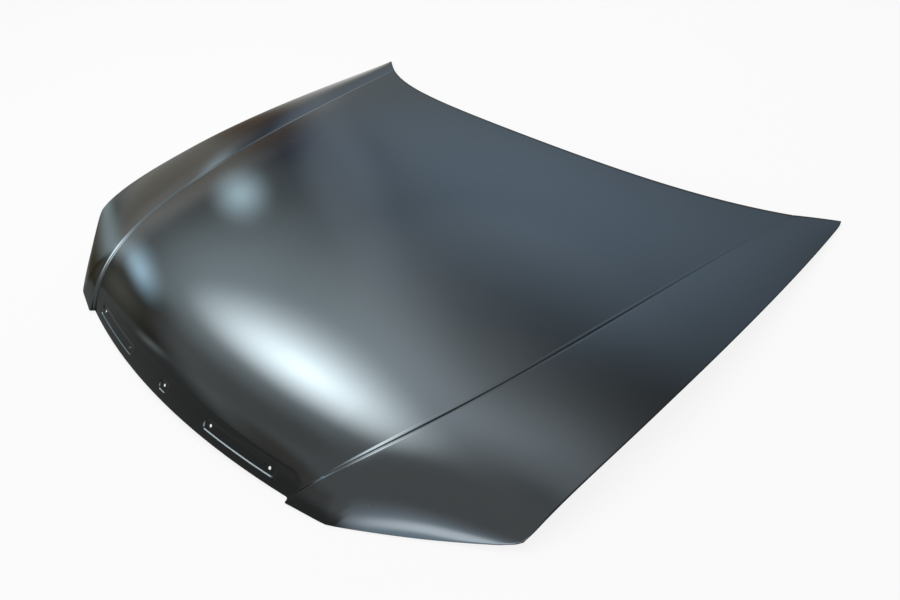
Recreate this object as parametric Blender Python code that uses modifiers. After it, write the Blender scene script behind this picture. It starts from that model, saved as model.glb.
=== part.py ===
# Car bonnet: hemmed outer skin over a pressed inner panel, with reinforcements, weld nuts and mastic.
# Metres, +Z up, front edge towards -Y. The shape is worked out with y = 0 at the two front notches,
# and an empty then stands the whole bonnet on its lowest points with the origin under its middle.

import bmesh
import bpy
import numpy as np
from mathutils import Matrix, Vector
from mathutils.geometry import delaunay_2d_cdt

# Plan outline
HALF_WIDTH = 0.7306            # centre line to the side edge where the bonnet is widest
WIDEST_Y = 0.700               # where that is, behind the notches
SIDE_BOW_FRONT = 0.095         # the side edge comes in by this times the distance squared
SIDE_BOW_REAR = 0.080
LIP_Y = -0.0296                # front lip on the centre line
LIP_BOW = 0.270                # the lip sweeps back by this times x squared
NOTCH_X = 0.364                # notch where the crease meets the front edge
NOTCH_HALF_WIDTH = 0.005
NOTCH_TIP_Y = -0.0045          # the side panel's tip stands ahead of the lip here
HEADLAMP_X = 0.449             # corner in the front edge above the headlamp
HEADLAMP_ROUND = 0.004
TIP_SLOPE = 0.25               # slope of the front edge from the notch to that corner
HEADLAMP_SLOPE = 0.59          # and from that corner outwards
HEADLAMP_BOW = 0.30
REAR_Y = 0.9796                # rear edge on the centre line
REAR_SWEEP = 0.2465            # the rear edge sweeps back with x squared
REAR_SWEEP_OUTER = 0.302       # and with x to the fourth
CORNER_REACH = 0.030           # the outer corners are rounded over this distance
CORNER_CUT = 0.0025

# Heights over the plane of the notches and rear corners
PEAK_HEIGHT = 0.112            # highest point of the centre line, before the nose rolls down
PEAK_Y = 0.400
CENTRE_FALL = 0.105            # the centre line falls by this times the distance squared
CROWN = 0.150                  # the panel falls by this times x squared
CROWN_LOSS = 0.110             # and less behind the place below
CROWN_LOSS_Y = 0.500
SIDE_HEIGHT = 0.0395           # height of the side edge along its level front half
SIDE_FALL_Y = 0.500            # where the side edge starts to fall towards the rear corner
SIDE_FALL_LENGTH = 0.670
SIDE_FALL_START = 1.7          # powers that shape the start and the end of that fall
SIDE_FALL_FINISH = 1.3
SIDE_BULGE = 0.0025            # the side panel is slightly full between crease and edge
NOSE_ROLL = 0.075              # distance over which the nose rolls down to the lip
LIP_RISE = 0.008               # the lip is higher on the centre line than at the notch
HEADLAMP_DIP = 0.003           # the front edge is lowest at the headlamp corner
HEADLAMP_RISE = 0.175

# Crease from the notch towards the rear corner
CREASE_INSIDE = 0.1173         # the crease from the widest line, where its groove ends
CREASE_FLARE = 0.122           # it swings out by this just behind the notch
CREASE_FLARE_LENGTH = 0.195
GROOVE_DEPTH = 0.0018
GROOVE_HALF_WIDTH = 0.005
GROOVE_FADE_Y = 0.300
GROOVE_END_Y = 1.000

# Nose band with its recesses
BAND_WIDTH = 0.030             # the flatter band behind the lip, in plan
BAND_STEP = 0.0008
BAND_EDGE = 0.004
RECESS_INSIDE = 0.134          # middle of each long trim recess from its notch
RECESS_LENGTH = 0.188
RECESS_BEHIND = 0.0175         # middle of the recesses behind the lip, in plan
RECESS_WIDTH = 0.017
RECESS_DEPTH = 0.0018
RECESS_WALL = 0.0025
TRIM_HOLE_SPACING = 0.153
TRIM_HOLE_RADIUS = 0.0030
BADGE_RECESS_LENGTH = 0.031

# Sheets and hem
SKIN_SHEET = 0.0008
PANEL_SHEET = 0.0007
GAP = 0.0003                   # between pieces that touch
HEM_GAP = 0.0005               # adhesive film on each side of the flange in the hem
HEM_WIDTH = 0.0115
HEM_WIDTH_FRONT = 0.0062       # in plan, on the steep nose
HEM_WIDTH_NOTCH = 0.0028       # the hem is cut back where it crosses the notch
FLANGE_WIDTH = 0.0130
FLANGE_WIDTH_FRONT = 0.0075
FLANGE_EDGE = 0.0013           # from the skin's edge to the panel's edge inside the fold
NOTCH_RELIEF = 0.0095           # the panel's flange is cut back at the notch
NOTCH_RELIEF_RUN = 0.0035
NOTCH_DROP = 0.0010             # and steps down under the crease
NOTCH_FALL = 0.0002

# Inner panel
CHANNEL_DEPTH = 0.024          # floor of the channels under the skin
FLOOR_CLEARANCE = 0.0005       # the floors stay this far over the headlamp corner's height
CHANNEL_FOOT = 0.030           # foot of the perimeter wall from the edge
CHANNEL_FOOT_FRONT = 0.022
RIM_DEPTH = 0.005              # window rims under the skin
RIM_WIDTH = 0.016
WINDOW_WALL = 0.014            # run of the wall from a rim down to the floor
WINDOW_RADIUS = 0.028
DRAIN_RADIUS = 0.009
DRAIN_FIRST_Y = 0.320
DRAIN_PITCH = 0.170
DRAIN_COUNT = 4
DRAIN_INSIDE = 0.082           # from the side edge

# Windows of the inner panel, in plan
FRONT_WINDOW_START = 0.187     # behind the notches
FRONT_WINDOW_END = 0.470
FRONT_WINDOW_INSIDE = 0.311    # from the side edge
CENTRE_WINDOW_START = 0.245
CENTRE_WINDOW_END = 0.500
MIDDLE_WINDOW_START = 0.590
MIDDLE_WINDOW_REAR = 0.1146    # ahead of the rear edge on the centre line
OUTER_WINDOW_START = 0.575
OUTER_WINDOW_REAR = 0.1496
OUTER_WINDOW_INSIDE = 0.242
CENTRE_RIB_WIDTH = 0.090       # between the two middle windows
DIAGONAL_WIDTH = 0.097         # across the bonnet, between the windows on both sides of a diagonal rib
DIAGONAL_FRONT_X = 0.066       # middle of that rib at the start of the front windows
DIAGONAL_REAR_INSIDE = 0.382   # and its distance from the side edge at the end of the middle windows

# Hinge and latch fixings
HINGE_INSIDE = 0.1456          # middle of the hinge pad from the widest line
HINGE_AHEAD = 0.1443           # and ahead of the rear edge
HINGE_PAD_WIDTH = 0.058
HINGE_PAD_LENGTH = 0.110
HINGE_PAD_HEIGHT = 0.006
HINGE_BOLT_SPACING = 0.060
LATCH_BEHIND = 0.1146          # middle of the latch pad behind the lip
LATCH_PAD_WIDTH = 0.120
LATCH_PAD_LENGTH = 0.056
LATCH_PAD_HEIGHT = 0.040
LATCH_BOLT_SPACING = 0.070
PAD_RADIUS = 0.012
PAD_SKIRT = 0.012
PLATE_SHEET = 0.0016
PLATE_MARGIN = 0.004           # the reinforcement ends this far inside its pad
PLATE_FLANGE = 0.006
PLATE_FLANGE_RUN = 0.003
BOLT_HOLE_RADIUS = 0.0050
NUT_FLATS = 0.013
NUT_HEIGHT = 0.0065
NUT_BORE_RADIUS = 0.0035
NUT_COLLAR_RADIUS = 0.0095
NUT_COLLAR_HEIGHT = 0.0015
DROP_RADIUS = 0.006
DROP_BULGE = 0.82              # the drop's flat faces are this share of its width
DROP_SIDES = 8

# Stations and tolerances of the meshes
SIDE_COLUMNS = 7               # between the crease and the side flange
RECESS_COLUMNS = 3             # along the straight part of a long recess
CENTRE_COLUMNS = 2             # between the badge recess and the long recess
NOSE_ROWS = 6
NOSE_REACH = 0.156             # the rows behind the nose band spread out over this distance
NOSE_SPREAD = 1.5
LONG_ROWS = 5                  # from there to the rear
REAR_MARGIN = 0.045            # last of those rows from the rear edge
FLOOR_MARGIN = 0.024           # loose points of the floors keep this far from every outline
SAME_POINT = 0.0004            # outline points nearer than this are one
NORMAL_STEP = 0.0005
SETTLING_ROUNDS = 80
CUTTER_LENGTH = 0.014
SHARP_EDGE = 35                # degrees

HEM_RADIUS = (2 * SKIN_SHEET + PANEL_SHEET + 2 * HEM_GAP) / 2
RECESS_X = NOTCH_X - RECESS_INSIDE
HINGE_X = HALF_WIDTH - HINGE_INSIDE
CREASE_END_FLARE = CREASE_FLARE * (1.0 - np.exp(-GROOVE_END_Y / CREASE_FLARE_LENGTH))
CREASE_SLOPE = (HALF_WIDTH - CREASE_INSIDE - NOTCH_X - CREASE_END_FLARE) / GROOVE_END_Y
LATCH_Y = LIP_Y + LATCH_BEHIND


# Outline and height formulas

def soft_step(t):
    t = np.clip(t, 0.0, 1.0)
    return t * t * (3.0 - 2.0 * t)


def soft_ramp(t, rounding):
    return 0.5 * (t + np.sqrt(t * t + rounding * rounding))


def side_x(y):
    ahead = WIDEST_Y - y
    return HALF_WIDTH - np.where(ahead > 0, SIDE_BOW_FRONT, SIDE_BOW_REAR) * ahead ** 2


def crease_x(y):
    flare = CREASE_FLARE * (1.0 - np.exp(-y / CREASE_FLARE_LENGTH))
    return NOTCH_X + CREASE_SLOPE * y + flare


def headlamp_y(x):
    outer = soft_ramp(x - HEADLAMP_X, HEADLAMP_ROUND)
    inner = NOTCH_TIP_Y + TIP_SLOPE * (x - NOTCH_X)
    return inner + (HEADLAMP_SLOPE - TIP_SLOPE) * outer + HEADLAMP_BOW * outer ** 2


def beyond_notch(x, half_width):
    return soft_step((x - NOTCH_X + half_width) / (2.0 * half_width))


def front_y(x, notch_half_width):
    share = beyond_notch(x, notch_half_width)
    return (1.0 - share) * (LIP_Y + LIP_BOW * x ** 2) + share * headlamp_y(x)


def rear_y(x):
    return REAR_Y + REAR_SWEEP * x ** 2 + REAR_SWEEP_OUTER * x ** 4


def lip_height(x):
    centre = LIP_RISE * (1.0 - (x / NOTCH_X) ** 2)
    dip = HEADLAMP_DIP * soft_step((x - NOTCH_X) / (HEADLAMP_X - NOTCH_X))
    outer = HEADLAMP_RISE * np.maximum(x - HEADLAMP_X, 0.0) ** 2 - dip
    share = beyond_notch(x, 3 * NOTCH_HALF_WIDTH)
    return (1.0 - share) * centre + share * outer


def crowned_height(x, y):
    crown = CROWN - CROWN_LOSS * np.maximum(y - CROWN_LOSS_Y, 0.0) ** 2
    return PEAK_HEIGHT - CENTRE_FALL * (y - PEAK_Y) ** 2 - crown * x ** 2


def side_height(y):
    along = np.clip((y - SIDE_FALL_Y) / SIDE_FALL_LENGTH, 0.0, 1.0)
    return SIDE_HEIGHT * (1.0 - along ** SIDE_FALL_START) ** SIDE_FALL_FINISH


def unrolled_height(x, y):
    # Crowned inside the crease. Outside it, a nearly straight fall from the crease to the side edge.
    crease = crease_x(y)
    out = np.maximum((x - crease) / (side_x(y) - crease), 0.0)
    side = (1.0 - out) * crowned_height(crease, y) + out * side_height(y)
    side = side + 4.0 * SIDE_BULGE * out * (1.0 - out)
    return np.where(x > crease, side, crowned_height(x, y))


def plain_height(x, y):
    # The nose rolls down: the height lacking at the lip fades exponentially with distance behind it.
    front = front_y(x, 3 * NOTCH_HALF_WIDTH)
    lacking = unrolled_height(x, front) - lip_height(x)
    return unrolled_height(x, y) - lacking * np.exp(-(y - front) / NOSE_ROLL)


def pocket(x, behind, middle, length):
    # A recess with round ends: full depth inside, rising over its wall to nothing at its outline
    straight = (length - RECESS_WIDTH) / 2.0
    past = np.maximum(np.abs(x - middle) - straight, 0.0)
    inside = RECESS_WIDTH / 2.0 - np.hypot(past, behind - RECESS_BEHIND)
    return RECESS_DEPTH * soft_step(inside / RECESS_WALL)


def detail_depth(x, y):
    across = np.abs(x - crease_x(y)) / GROOVE_HALF_WIDTH
    fade = 1.0 - soft_step((y - GROOVE_FADE_Y) / (GROOVE_END_Y - GROOVE_FADE_Y))
    groove = GROOVE_DEPTH * fade * (1.0 - soft_step(across))
    behind = y - front_y(x, 3 * NOTCH_HALF_WIDTH)
    between_notches = 1.0 - beyond_notch(x, 3 * NOTCH_HALF_WIDTH)
    band = BAND_STEP * between_notches * (1.0 - soft_step((behind - BAND_WIDTH) / BAND_EDGE))
    recess = pocket(x, behind, RECESS_X, RECESS_LENGTH)
    return groove + band + recess + pocket(x, behind, 0.0, BADGE_RECESS_LENGTH)


def skin_height(x, y):
    x = np.abs(x)
    return plain_height(x, y) - detail_depth(x, y)


def surface_normal(x, y):
    # From the plain form, so that pieces under a groove or recess stay square to the panel
    step = NORMAL_STEP
    slope_x = (plain_height(np.abs(x + step), y) - plain_height(np.abs(x - step), y)) / (2 * step)
    slope_y = (plain_height(np.abs(x), y + step) - plain_height(np.abs(x), y - step)) / (2 * step)
    normal = np.stack([-slope_x, -slope_y, np.ones_like(slope_x)], -1)
    return normal / np.linalg.norm(normal, axis=-1, keepdims=True)


def under_skin(x, y, depth, detailed=True):
    x = np.asarray(x, float)
    y = np.asarray(y, float)
    height = skin_height(x, y) if detailed else plain_height(np.abs(x), y)
    on_skin = np.stack([x, y, height], -1)
    return on_skin - surface_normal(x, y) * np.asarray(depth, float)[..., None]


# Grid stations. A column is a share of the crease's x, a share of the side edge's x and an offset.
# A row is a share of the way from front to rear, with a margin behind the front and ahead of the rear.

def between(first, last, count):
    # Evenly spaced stations between two others
    return list(np.linspace(first, last, count + 2)[1:-1])


def recess_columns(middle, length):
    half = length / 2.0
    return [middle - half, middle - half + RECESS_WALL, middle - half + 3 * RECESS_WALL,
            middle + half - 3 * RECESS_WALL, middle + half - RECESS_WALL, middle + half]


def half_columns(fine):
    reach = 2 * GROOVE_HALF_WIDTH
    near_lip = crease_x(RECESS_BEHIND) - reach
    badge = [x for x in recess_columns(0.0, BADGE_RECESS_LENGTH) if x > 0]
    recess = recess_columns(RECESS_X, RECESS_LENGTH)
    inner = [0.0]
    inner += badge if fine else []
    inner += between(badge[-1], recess[0], CENTRE_COLUMNS)
    inner += recess[:3] if fine else recess[1:2]
    inner += between(recess[2], recess[3], RECESS_COLUMNS)
    inner += recess[3:] if fine else recess[4:5]
    columns = [(x / near_lip, 0.0, -reach * x / near_lip) for x in inner]
    groove = [-GROOVE_HALF_WIDTH, 0.0, GROOVE_HALF_WIDTH] if fine else [0.0]
    outer = reach + NOTCH_RELIEF_RUN
    columns += [(1.0, 0.0, step) for step in [-outer, -reach] + groove + [reach, outer]]
    for share in between(0.0, 1.0, SIDE_COLUMNS):
        columns.append((1.0 - share, share, (1.0 - share) * outer - share * FLANGE_WIDTH))
    columns += [(0.0, 1.0, -FLANGE_WIDTH), (0.0, 1.0, 0.0)]
    return np.array(columns)


def all_rows():
    low = RECESS_BEHIND - RECESS_WIDTH / 2.0
    high = RECESS_BEHIND + RECESS_WIDTH / 2.0
    front = [0.0, FLANGE_WIDTH_FRONT, low, low + RECESS_WALL, high - RECESS_WALL, high]
    spread = (np.arange(NOSE_ROWS + 1) / NOSE_ROWS) ** NOSE_SPREAD
    front += [BAND_WIDTH] + list(BAND_WIDTH + BAND_EDGE + NOSE_REACH * spread)
    rear = [REAR_MARGIN, FLANGE_WIDTH, 0.0]
    rows = [(0.0, margin, 0.0) for margin in front]
    rows += [(share, front[-1], rear[0]) for share in between(0.0, 1.0, LONG_ROWS)]
    rows += [(1.0, 0.0, margin) for margin in rear]
    return np.array(rows)


def plan_grid(columns, rows, side_inset=0.0, front_inset=0.0, rear_inset=0.0):
    # x follows from y through the crease and side edge, and y from x through the front and rear
    # edges, so the two are settled together. No station lies outside the insets.
    share_crease, share_side, offset = columns.T
    back = rows[:, 0][:, None]
    front_margin = np.maximum(rows[:, 1], front_inset)[:, None]
    rear_margin = np.maximum(rows[:, 2], rear_inset)[:, None]
    y = LIP_Y + back * (REAR_Y - LIP_Y) + np.zeros((len(rows), len(columns)))
    for _ in range(SETTLING_ROUNDS):
        x = share_crease * crease_x(y) + share_side * side_x(y) + offset
        x = np.minimum(x, side_x(y) - side_inset)
        ahead = front_y(x, NOTCH_HALF_WIDTH) + front_margin
        behind = rear_y(x) - rear_margin
        y = 0.5 * y + 0.5 * ((1.0 - back) * ahead + back * behind)
    return round_corners(x, y)


def round_corners(x, y):
    from_side = np.clip(1.0 - (side_x(y) - x) / CORNER_REACH, 0.0, 1.0) ** 2
    from_front = np.clip(1.0 - (y - front_y(x, NOTCH_HALF_WIDTH)) / CORNER_REACH, 0.0, 1.0) ** 2
    from_rear = np.clip(1.0 - (rear_y(x) - y) / CORNER_REACH, 0.0, 1.0) ** 2
    cut_front = CORNER_CUT * from_side * from_front
    cut_rear = CORNER_CUT * from_side * from_rear
    return x - cut_front - cut_rear, y + cut_front - cut_rear


def mirrored(x, y):
    return np.concatenate([-x[:, :0:-1], x], 1), np.concatenate([y[:, :0:-1], y], 1)


def rim_of(grid):
    # The outermost points of a grid in order: front, right side, rear, left side
    return np.concatenate([grid[0, :-1], grid[:-1, -1], grid[-1, :0:-1], grid[:0:-1, 0]])


def is_side(across, along):
    # Which stretches of that rim run along a side of the grid
    front, side = np.zeros(across - 1, bool), np.ones(along - 1, bool)
    return np.concatenate([front, side, front, side])


# Blender helpers

def clear_scene():
    for thing in list(bpy.data.objects):
        bpy.data.objects.remove(thing, do_unlink=True)


def new_collection(name):
    group = bpy.data.collections.new(name)
    bpy.context.scene.collection.children.link(group)
    return group


def new_material(name, colour, roughness, metallic):
    material = bpy.data.materials.new(name)
    material.use_nodes = True
    shader = material.node_tree.nodes["Principled BSDF"]
    shader.inputs["Base Color"].default_value = (*colour, 1.0)
    shader.inputs["Roughness"].default_value = roughness
    shader.inputs["Metallic"].default_value = metallic
    return material


def object_from(bm, name, group, material=None):
    mesh = bpy.data.meshes.new(name)
    bm.to_mesh(mesh)
    bm.free()
    thing = bpy.data.objects.new(name, mesh)
    group.objects.link(thing)
    if material:
        mesh.materials.append(material)
    return thing


def thicken(thing, sheet):
    solid = thing.modifiers.new("sheet", 'SOLIDIFY')
    solid.thickness = sheet
    solid.offset = -1.0
    solid.use_even_offset = True
    solid.use_rim = True


def cut_with(thing, cutter):
    cut = thing.modifiers.new("cut " + cutter.name, 'BOOLEAN')
    cut.operation = 'DIFFERENCE'
    cut.object = cutter
    cut.solver = 'EXACT'


def cylinder(name, group, radius, length, middle, axis, sides=12):
    bm = bmesh.new()
    bmesh.ops.create_cone(bm, cap_ends=True, segments=sides, radius1=radius, radius2=radius, depth=length)
    turn = Vector(axis).to_track_quat('Z', 'Y').to_matrix().to_4x4()
    bmesh.ops.transform(bm, matrix=Matrix.Translation(Vector(middle)) @ turn, verts=bm.verts)
    thing = object_from(bm, name, group)
    if group.name == "cutters":
        thing.hide_render = True
        thing.display_type = 'WIRE'
    return thing


# Outer skin

def make_skin(parts, cutters, material):
    columns = half_columns(fine=True)
    rows = all_rows()
    x, y = mirrored(*plan_grid(columns, rows))
    bm = bmesh.new()
    across = x.shape[1]
    along = x.shape[0]
    bmesh.ops.create_grid(bm, x_segments=across - 1, y_segments=along - 1, size=0.5)
    bm.verts.ensure_lookup_table()
    order = sorted(bm.verts, key=lambda v: (round(v.co.y, 5), round(v.co.x, 5)))
    points = under_skin(x, y, np.zeros_like(x)).reshape(-1, 3)
    for vert, point in zip(order, points):
        vert.co = point

    # The hem: the edge turns down and under through half a circle, then runs back inwards
    index = np.arange(along * across).reshape(along, across)
    ring = [order[k] for k in rim_of(index)]
    edge = np.stack([rim_of(x), rim_of(y)], -1)
    inset_x, inset_y = mirrored(*plan_grid(columns, rows, HEM_WIDTH, HEM_WIDTH_FRONT, HEM_WIDTH))
    inset_x, inset_y = rim_of(inset_x), rim_of(inset_y)
    narrower = notch_relief(inset_x, inset_y) * (HEM_WIDTH_FRONT - HEM_WIDTH_NOTCH)
    inset = np.stack(slide_along_crease(inset_x, inset_y, -narrower), -1)
    top = under_skin(edge[:, 0], edge[:, 1], np.zeros(len(edge)))
    inner = under_skin(inset[:, 0], inset[:, 1], np.zeros(len(edge)))
    normal = surface_normal(edge[:, 0], edge[:, 1])
    outward = top - inner
    outward -= normal * np.sum(outward * normal, -1, keepdims=True)
    outward /= np.linalg.norm(outward, axis=-1, keepdims=True)
    fold = top + outward * HEM_RADIUS - normal * HEM_RADIUS
    under = top - normal * 2 * HEM_RADIUS
    back = under_skin(inset[:, 0], inset[:, 1], np.full(len(edge), 2 * HEM_RADIUS))
    for target in (fold, under, back):
        following = [bm.verts.new(point) for point in target]
        count = len(ring)
        for k, side in enumerate(is_side(across, along)):
            after = (k + 1) % count
            corners = [ring[k], following[k], following[after], ring[after]]
            bm.faces.new(corners[1:] + corners[:1] if side else corners)
        ring = following
    # The panel's flange is split across the same corners, so the two lie evenly in the hem
    bmesh.ops.triangulate(bm, faces=bm.faces, quad_method='FIXED')
    bmesh.ops.recalc_face_normals(bm, faces=bm.faces)
    top_face = max(bm.faces, key=lambda face: face.calc_center_median().z)
    if top_face.normal.z < 0:
        bmesh.ops.reverse_faces(bm, faces=bm.faces)
    skin = object_from(bm, "outer_skin", parts, material)
    thicken(skin, SKIN_SHEET)
    holes = [0.0]
    for side in (-1, 1):
        for end in (-1, 1):
            holes.append(side * (RECESS_X + end * TRIM_HOLE_SPACING / 2))
    for number, hole_x in enumerate(holes, 1):
        hole_y = front_y(abs(hole_x), NOTCH_HALF_WIDTH) + RECESS_BEHIND
        middle = under_skin(hole_x, hole_y, RECESS_DEPTH, detailed=False)
        axis = surface_normal(np.array(hole_x), np.array(hole_y))
        cutter = cylinder(f"trim_hole_{number}", cutters, TRIM_HOLE_RADIUS, CUTTER_LENGTH, middle, axis)
        cut_with(skin, cutter)
    return skin


# Pressed sheets laid out as closed outlines in plan, then raised to their heights

def rounded_outline(corners, grow, radius, edge_cuts=3, arc_cuts=3):
    # Polygon moved outwards by grow, with its corners rounded and its sides divided
    corners = np.asarray(corners, float)
    count = len(corners)
    following = np.roll(corners, -1, 0)
    direction = following - corners
    direction /= np.linalg.norm(direction, axis=1, keepdims=True)
    outward = np.stack([direction[:, 1], -direction[:, 0]], -1)
    area = np.sum(corners[:, 0] * following[:, 1] - following[:, 0] * corners[:, 1])
    if area < 0:
        outward = -outward
    arcs = []
    for k in range(count):
        before, after = outward[k - 1], outward[k]
        bisector = before + after
        bisector /= np.linalg.norm(bisector)
        spread = 1.0 / (bisector @ after)
        centre = corners[k] - bisector * radius * spread
        turn = np.linspace(0.0, 1.0, arc_cuts + 1)[:, None]
        angle = np.arccos(np.clip(before @ after, -1.0, 1.0))
        blend = (np.sin((1 - turn) * angle) * before + np.sin(turn * angle) * after) / np.sin(angle)
        arcs.append(centre + blend * (radius + grow))
    points = []
    for k in range(count):
        points.append(arcs[k])
        start, end = arcs[k][-1], arcs[(k + 1) % count][0]
        along = np.linspace(0.0, 1.0, edge_cuts + 2)[1:-1, None]
        points.append(start + (end - start) * along)
    return np.concatenate(points)


def is_inside(points, outline):
    x, y = points[:, 0][:, None], points[:, 1][:, None]
    start, end = outline, np.roll(outline, -1, 0)
    crosses = (start[:, 1] > y) != (end[:, 1] > y)
    rise = np.where(end[:, 1] == start[:, 1], 1.0, end[:, 1] - start[:, 1])
    meets = start[:, 0] + (y - start[:, 1]) / rise * (end[:, 0] - start[:, 0])
    return np.sum(crosses & (x < meets), axis=1) % 2 == 1


def pressed_sheet(outer, holes, inner_outlines, loose_points, name, group, material, sheet, side=None):
    # Each outline is a pair of plan points and their 3-D places. Triangles join neighbouring outlines.
    # Where side is given, the first inner outline matches the outer one point for point, and the
    # strip between them is split across the corners that side names.
    outlines = [outer] + inner_outlines + holes
    plan, places, edges, numbers = [], [], [], []
    for flat, solid in outlines:
        keep = np.linalg.norm(flat - np.roll(flat, 1, 0), axis=1) > SAME_POINT
        first = len(plan)
        numbers.append(first + np.cumsum(keep) - 1)
        plan.extend(flat[keep])
        places.extend(solid[keep])
        count = int(keep.sum())
        edges.extend((first + k, first + (k + 1) % count) for k in range(count))
    if side is not None:
        outer_number, inner_number = numbers[0], numbers[1]
        for k, on_side in enumerate(side):
            after = (k + 1) % len(side)
            split = (inner_number[k], outer_number[after]) if on_side else (outer_number[k], inner_number[after])
            if inner_number[k] != inner_number[after]:
                edges.append((int(split[0]), int(split[1])))
    if loose_points is not None:
        plan.extend(loose_points[0])
        places.extend(loose_points[1])
    verts, _, faces, sources, _, _ = delaunay_2d_cdt([Vector(p[:2]) for p in plan], edges, [], 0, 1e-7)
    centres = np.array([np.mean([verts[k] for k in face], axis=0) for face in faces])
    keep = is_inside(centres, outer[0])
    for flat, _ in holes:
        keep &= ~is_inside(centres, flat)
    bm = bmesh.new()
    made = [bm.verts.new(places[source[0]]) for source in sources]
    for face, wanted in zip(faces, keep):
        if wanted:
            bm.faces.new([made[k] for k in face])
    bmesh.ops.delete(bm, geom=[v for v in bm.verts if not v.link_faces], context='VERTS')
    bmesh.ops.recalc_face_normals(bm, faces=bm.faces)
    total = sum(face.normal.z for face in bm.faces)
    if total < 0:
        bmesh.ops.reverse_faces(bm, faces=bm.faces)
    thing = object_from(bm, name, group, material)
    thicken(thing, sheet)
    return thing


# Inner panel

def channel_depth(x, y):
    # Full depth under the high part of the skin, and shallower where the skin comes down to the floor
    available = plain_height(np.abs(x), y) + HEADLAMP_DIP + 2 * HEM_RADIUS - PANEL_SHEET - FLOOR_CLEARANCE
    lowest_flange = SKIN_SHEET + HEM_GAP + PANEL_SHEET
    return np.clip(available - lowest_flange, lowest_flange, CHANNEL_DEPTH)


def diagonal_x(y):
    # The middle of the straight rib that runs from the front beam outwards to the rear
    rear = REAR_Y - MIDDLE_WINDOW_REAR
    rear_x = float(side_x(rear)) - DIAGONAL_REAR_INSIDE
    share = (y - FRONT_WINDOW_START) / (rear - FRONT_WINDOW_START)
    return DIAGONAL_FRONT_X + share * (rear_x - DIAGONAL_FRONT_X)


def beside_diagonal(start, end, inside):
    # A window between a diagonal rib and a line that runs inside the side edge
    near, far = diagonal_x(start) + DIAGONAL_WIDTH / 2, diagonal_x(end) + DIAGONAL_WIDTH / 2
    return [(near, start), (float(side_x(start)) - inside, start), (float(side_x(end)) - inside, end), (far, end)]


def window_corners():
    # Seven windows between the front beam, the diagonals to the rear and the ribs that cross them
    narrow, wide = [diagonal_x(y) - DIAGONAL_WIDTH / 2 for y in (CENTRE_WINDOW_START, CENTRE_WINDOW_END)]
    centre = [(-narrow, CENTRE_WINDOW_START), (narrow, CENTRE_WINDOW_START),
              (wide, CENTRE_WINDOW_END), (-wide, CENTRE_WINDOW_END)]
    start, end = MIDDLE_WINDOW_START, REAR_Y - MIDDLE_WINDOW_REAR
    narrow, wide = [diagonal_x(y) - DIAGONAL_WIDTH / 2 for y in (start, end)]
    middle = [(CENTRE_RIB_WIDTH / 2, start), (narrow, start), (wide, end), (CENTRE_RIB_WIDTH / 2, end)]
    front = beside_diagonal(FRONT_WINDOW_START, FRONT_WINDOW_END, FRONT_WINDOW_INSIDE)
    outer = beside_diagonal(OUTER_WINDOW_START, REAR_Y - OUTER_WINDOW_REAR, OUTER_WINDOW_INSIDE)
    windows = [centre]
    for shape in (middle, front, outer):
        windows.append(shape)
        windows.append([(-x, y) for x, y in reversed(shape)])
    return windows


def rectangle(x, y, width, length):
    half_x, half_y = width / 2, length / 2
    return [(x - half_x, y - half_y), (x + half_x, y - half_y),
            (x + half_x, y + half_y), (x - half_x, y + half_y)]


def hinge_y():
    return float(rear_y(HINGE_X)) - HINGE_AHEAD


def pads():
    # Flat pads pressed into the floor: middle, size and height over the notch plane
    hinge = (hinge_y(), HINGE_PAD_WIDTH, HINGE_PAD_LENGTH, HINGE_PAD_HEIGHT)
    return {
        "hinge_left": (HINGE_X, *hinge),
        "hinge_right": (-HINGE_X, *hinge),
        "latch": (0.0, LATCH_Y, LATCH_PAD_WIDTH, LATCH_PAD_LENGTH, LATCH_PAD_HEIGHT),
    }


def bolt_places():
    places = {}
    for side, sign in (("left", 1), ("right", -1)):
        for number, end in ((1, -1), (2, 1)):
            bolt_y = hinge_y() + end * HINGE_BOLT_SPACING / 2
            places[f"hinge_{side}_{number}"] = (sign * HINGE_X, bolt_y, HINGE_PAD_HEIGHT)
    for number, end in ((1, 1), (2, -1)):
        places[f"latch_{number}"] = (end * LATCH_BOLT_SPACING / 2, LATCH_Y, LATCH_PAD_HEIGHT)
    return places


def notch_relief(x, y):
    # 1 on the stations of the crease at the front edge, and 0 from the next ones outwards
    past = (np.abs(np.abs(x) - crease_x(y)) - 2 * GROOVE_HALF_WIDTH) / NOTCH_RELIEF_RUN
    near_front = 1.0 - soft_step((y - CHANNEL_FOOT) / CHANNEL_FOOT)
    return (1.0 - soft_step(past)) * near_front


def slide_along_crease(x, y, distance):
    return x + np.sign(x) * (crease_x(y + distance) - crease_x(y)), y + distance


def notch_drop(x, y):
    away = np.abs(np.abs(x) - crease_x(y)) / (2 * GROOVE_HALF_WIDTH)
    return NOTCH_DROP * (1.0 - soft_step(away)) * notch_relief(x, y)


def perimeter(columns, rows, side_inset, front_inset, rear_inset):
    x, y = mirrored(*plan_grid(columns, rows, side_inset, front_inset, rear_inset))
    x, y = rim_of(x), rim_of(y)
    return slide_along_crease(x, y, notch_relief(x, y) * NOTCH_RELIEF)


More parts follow.
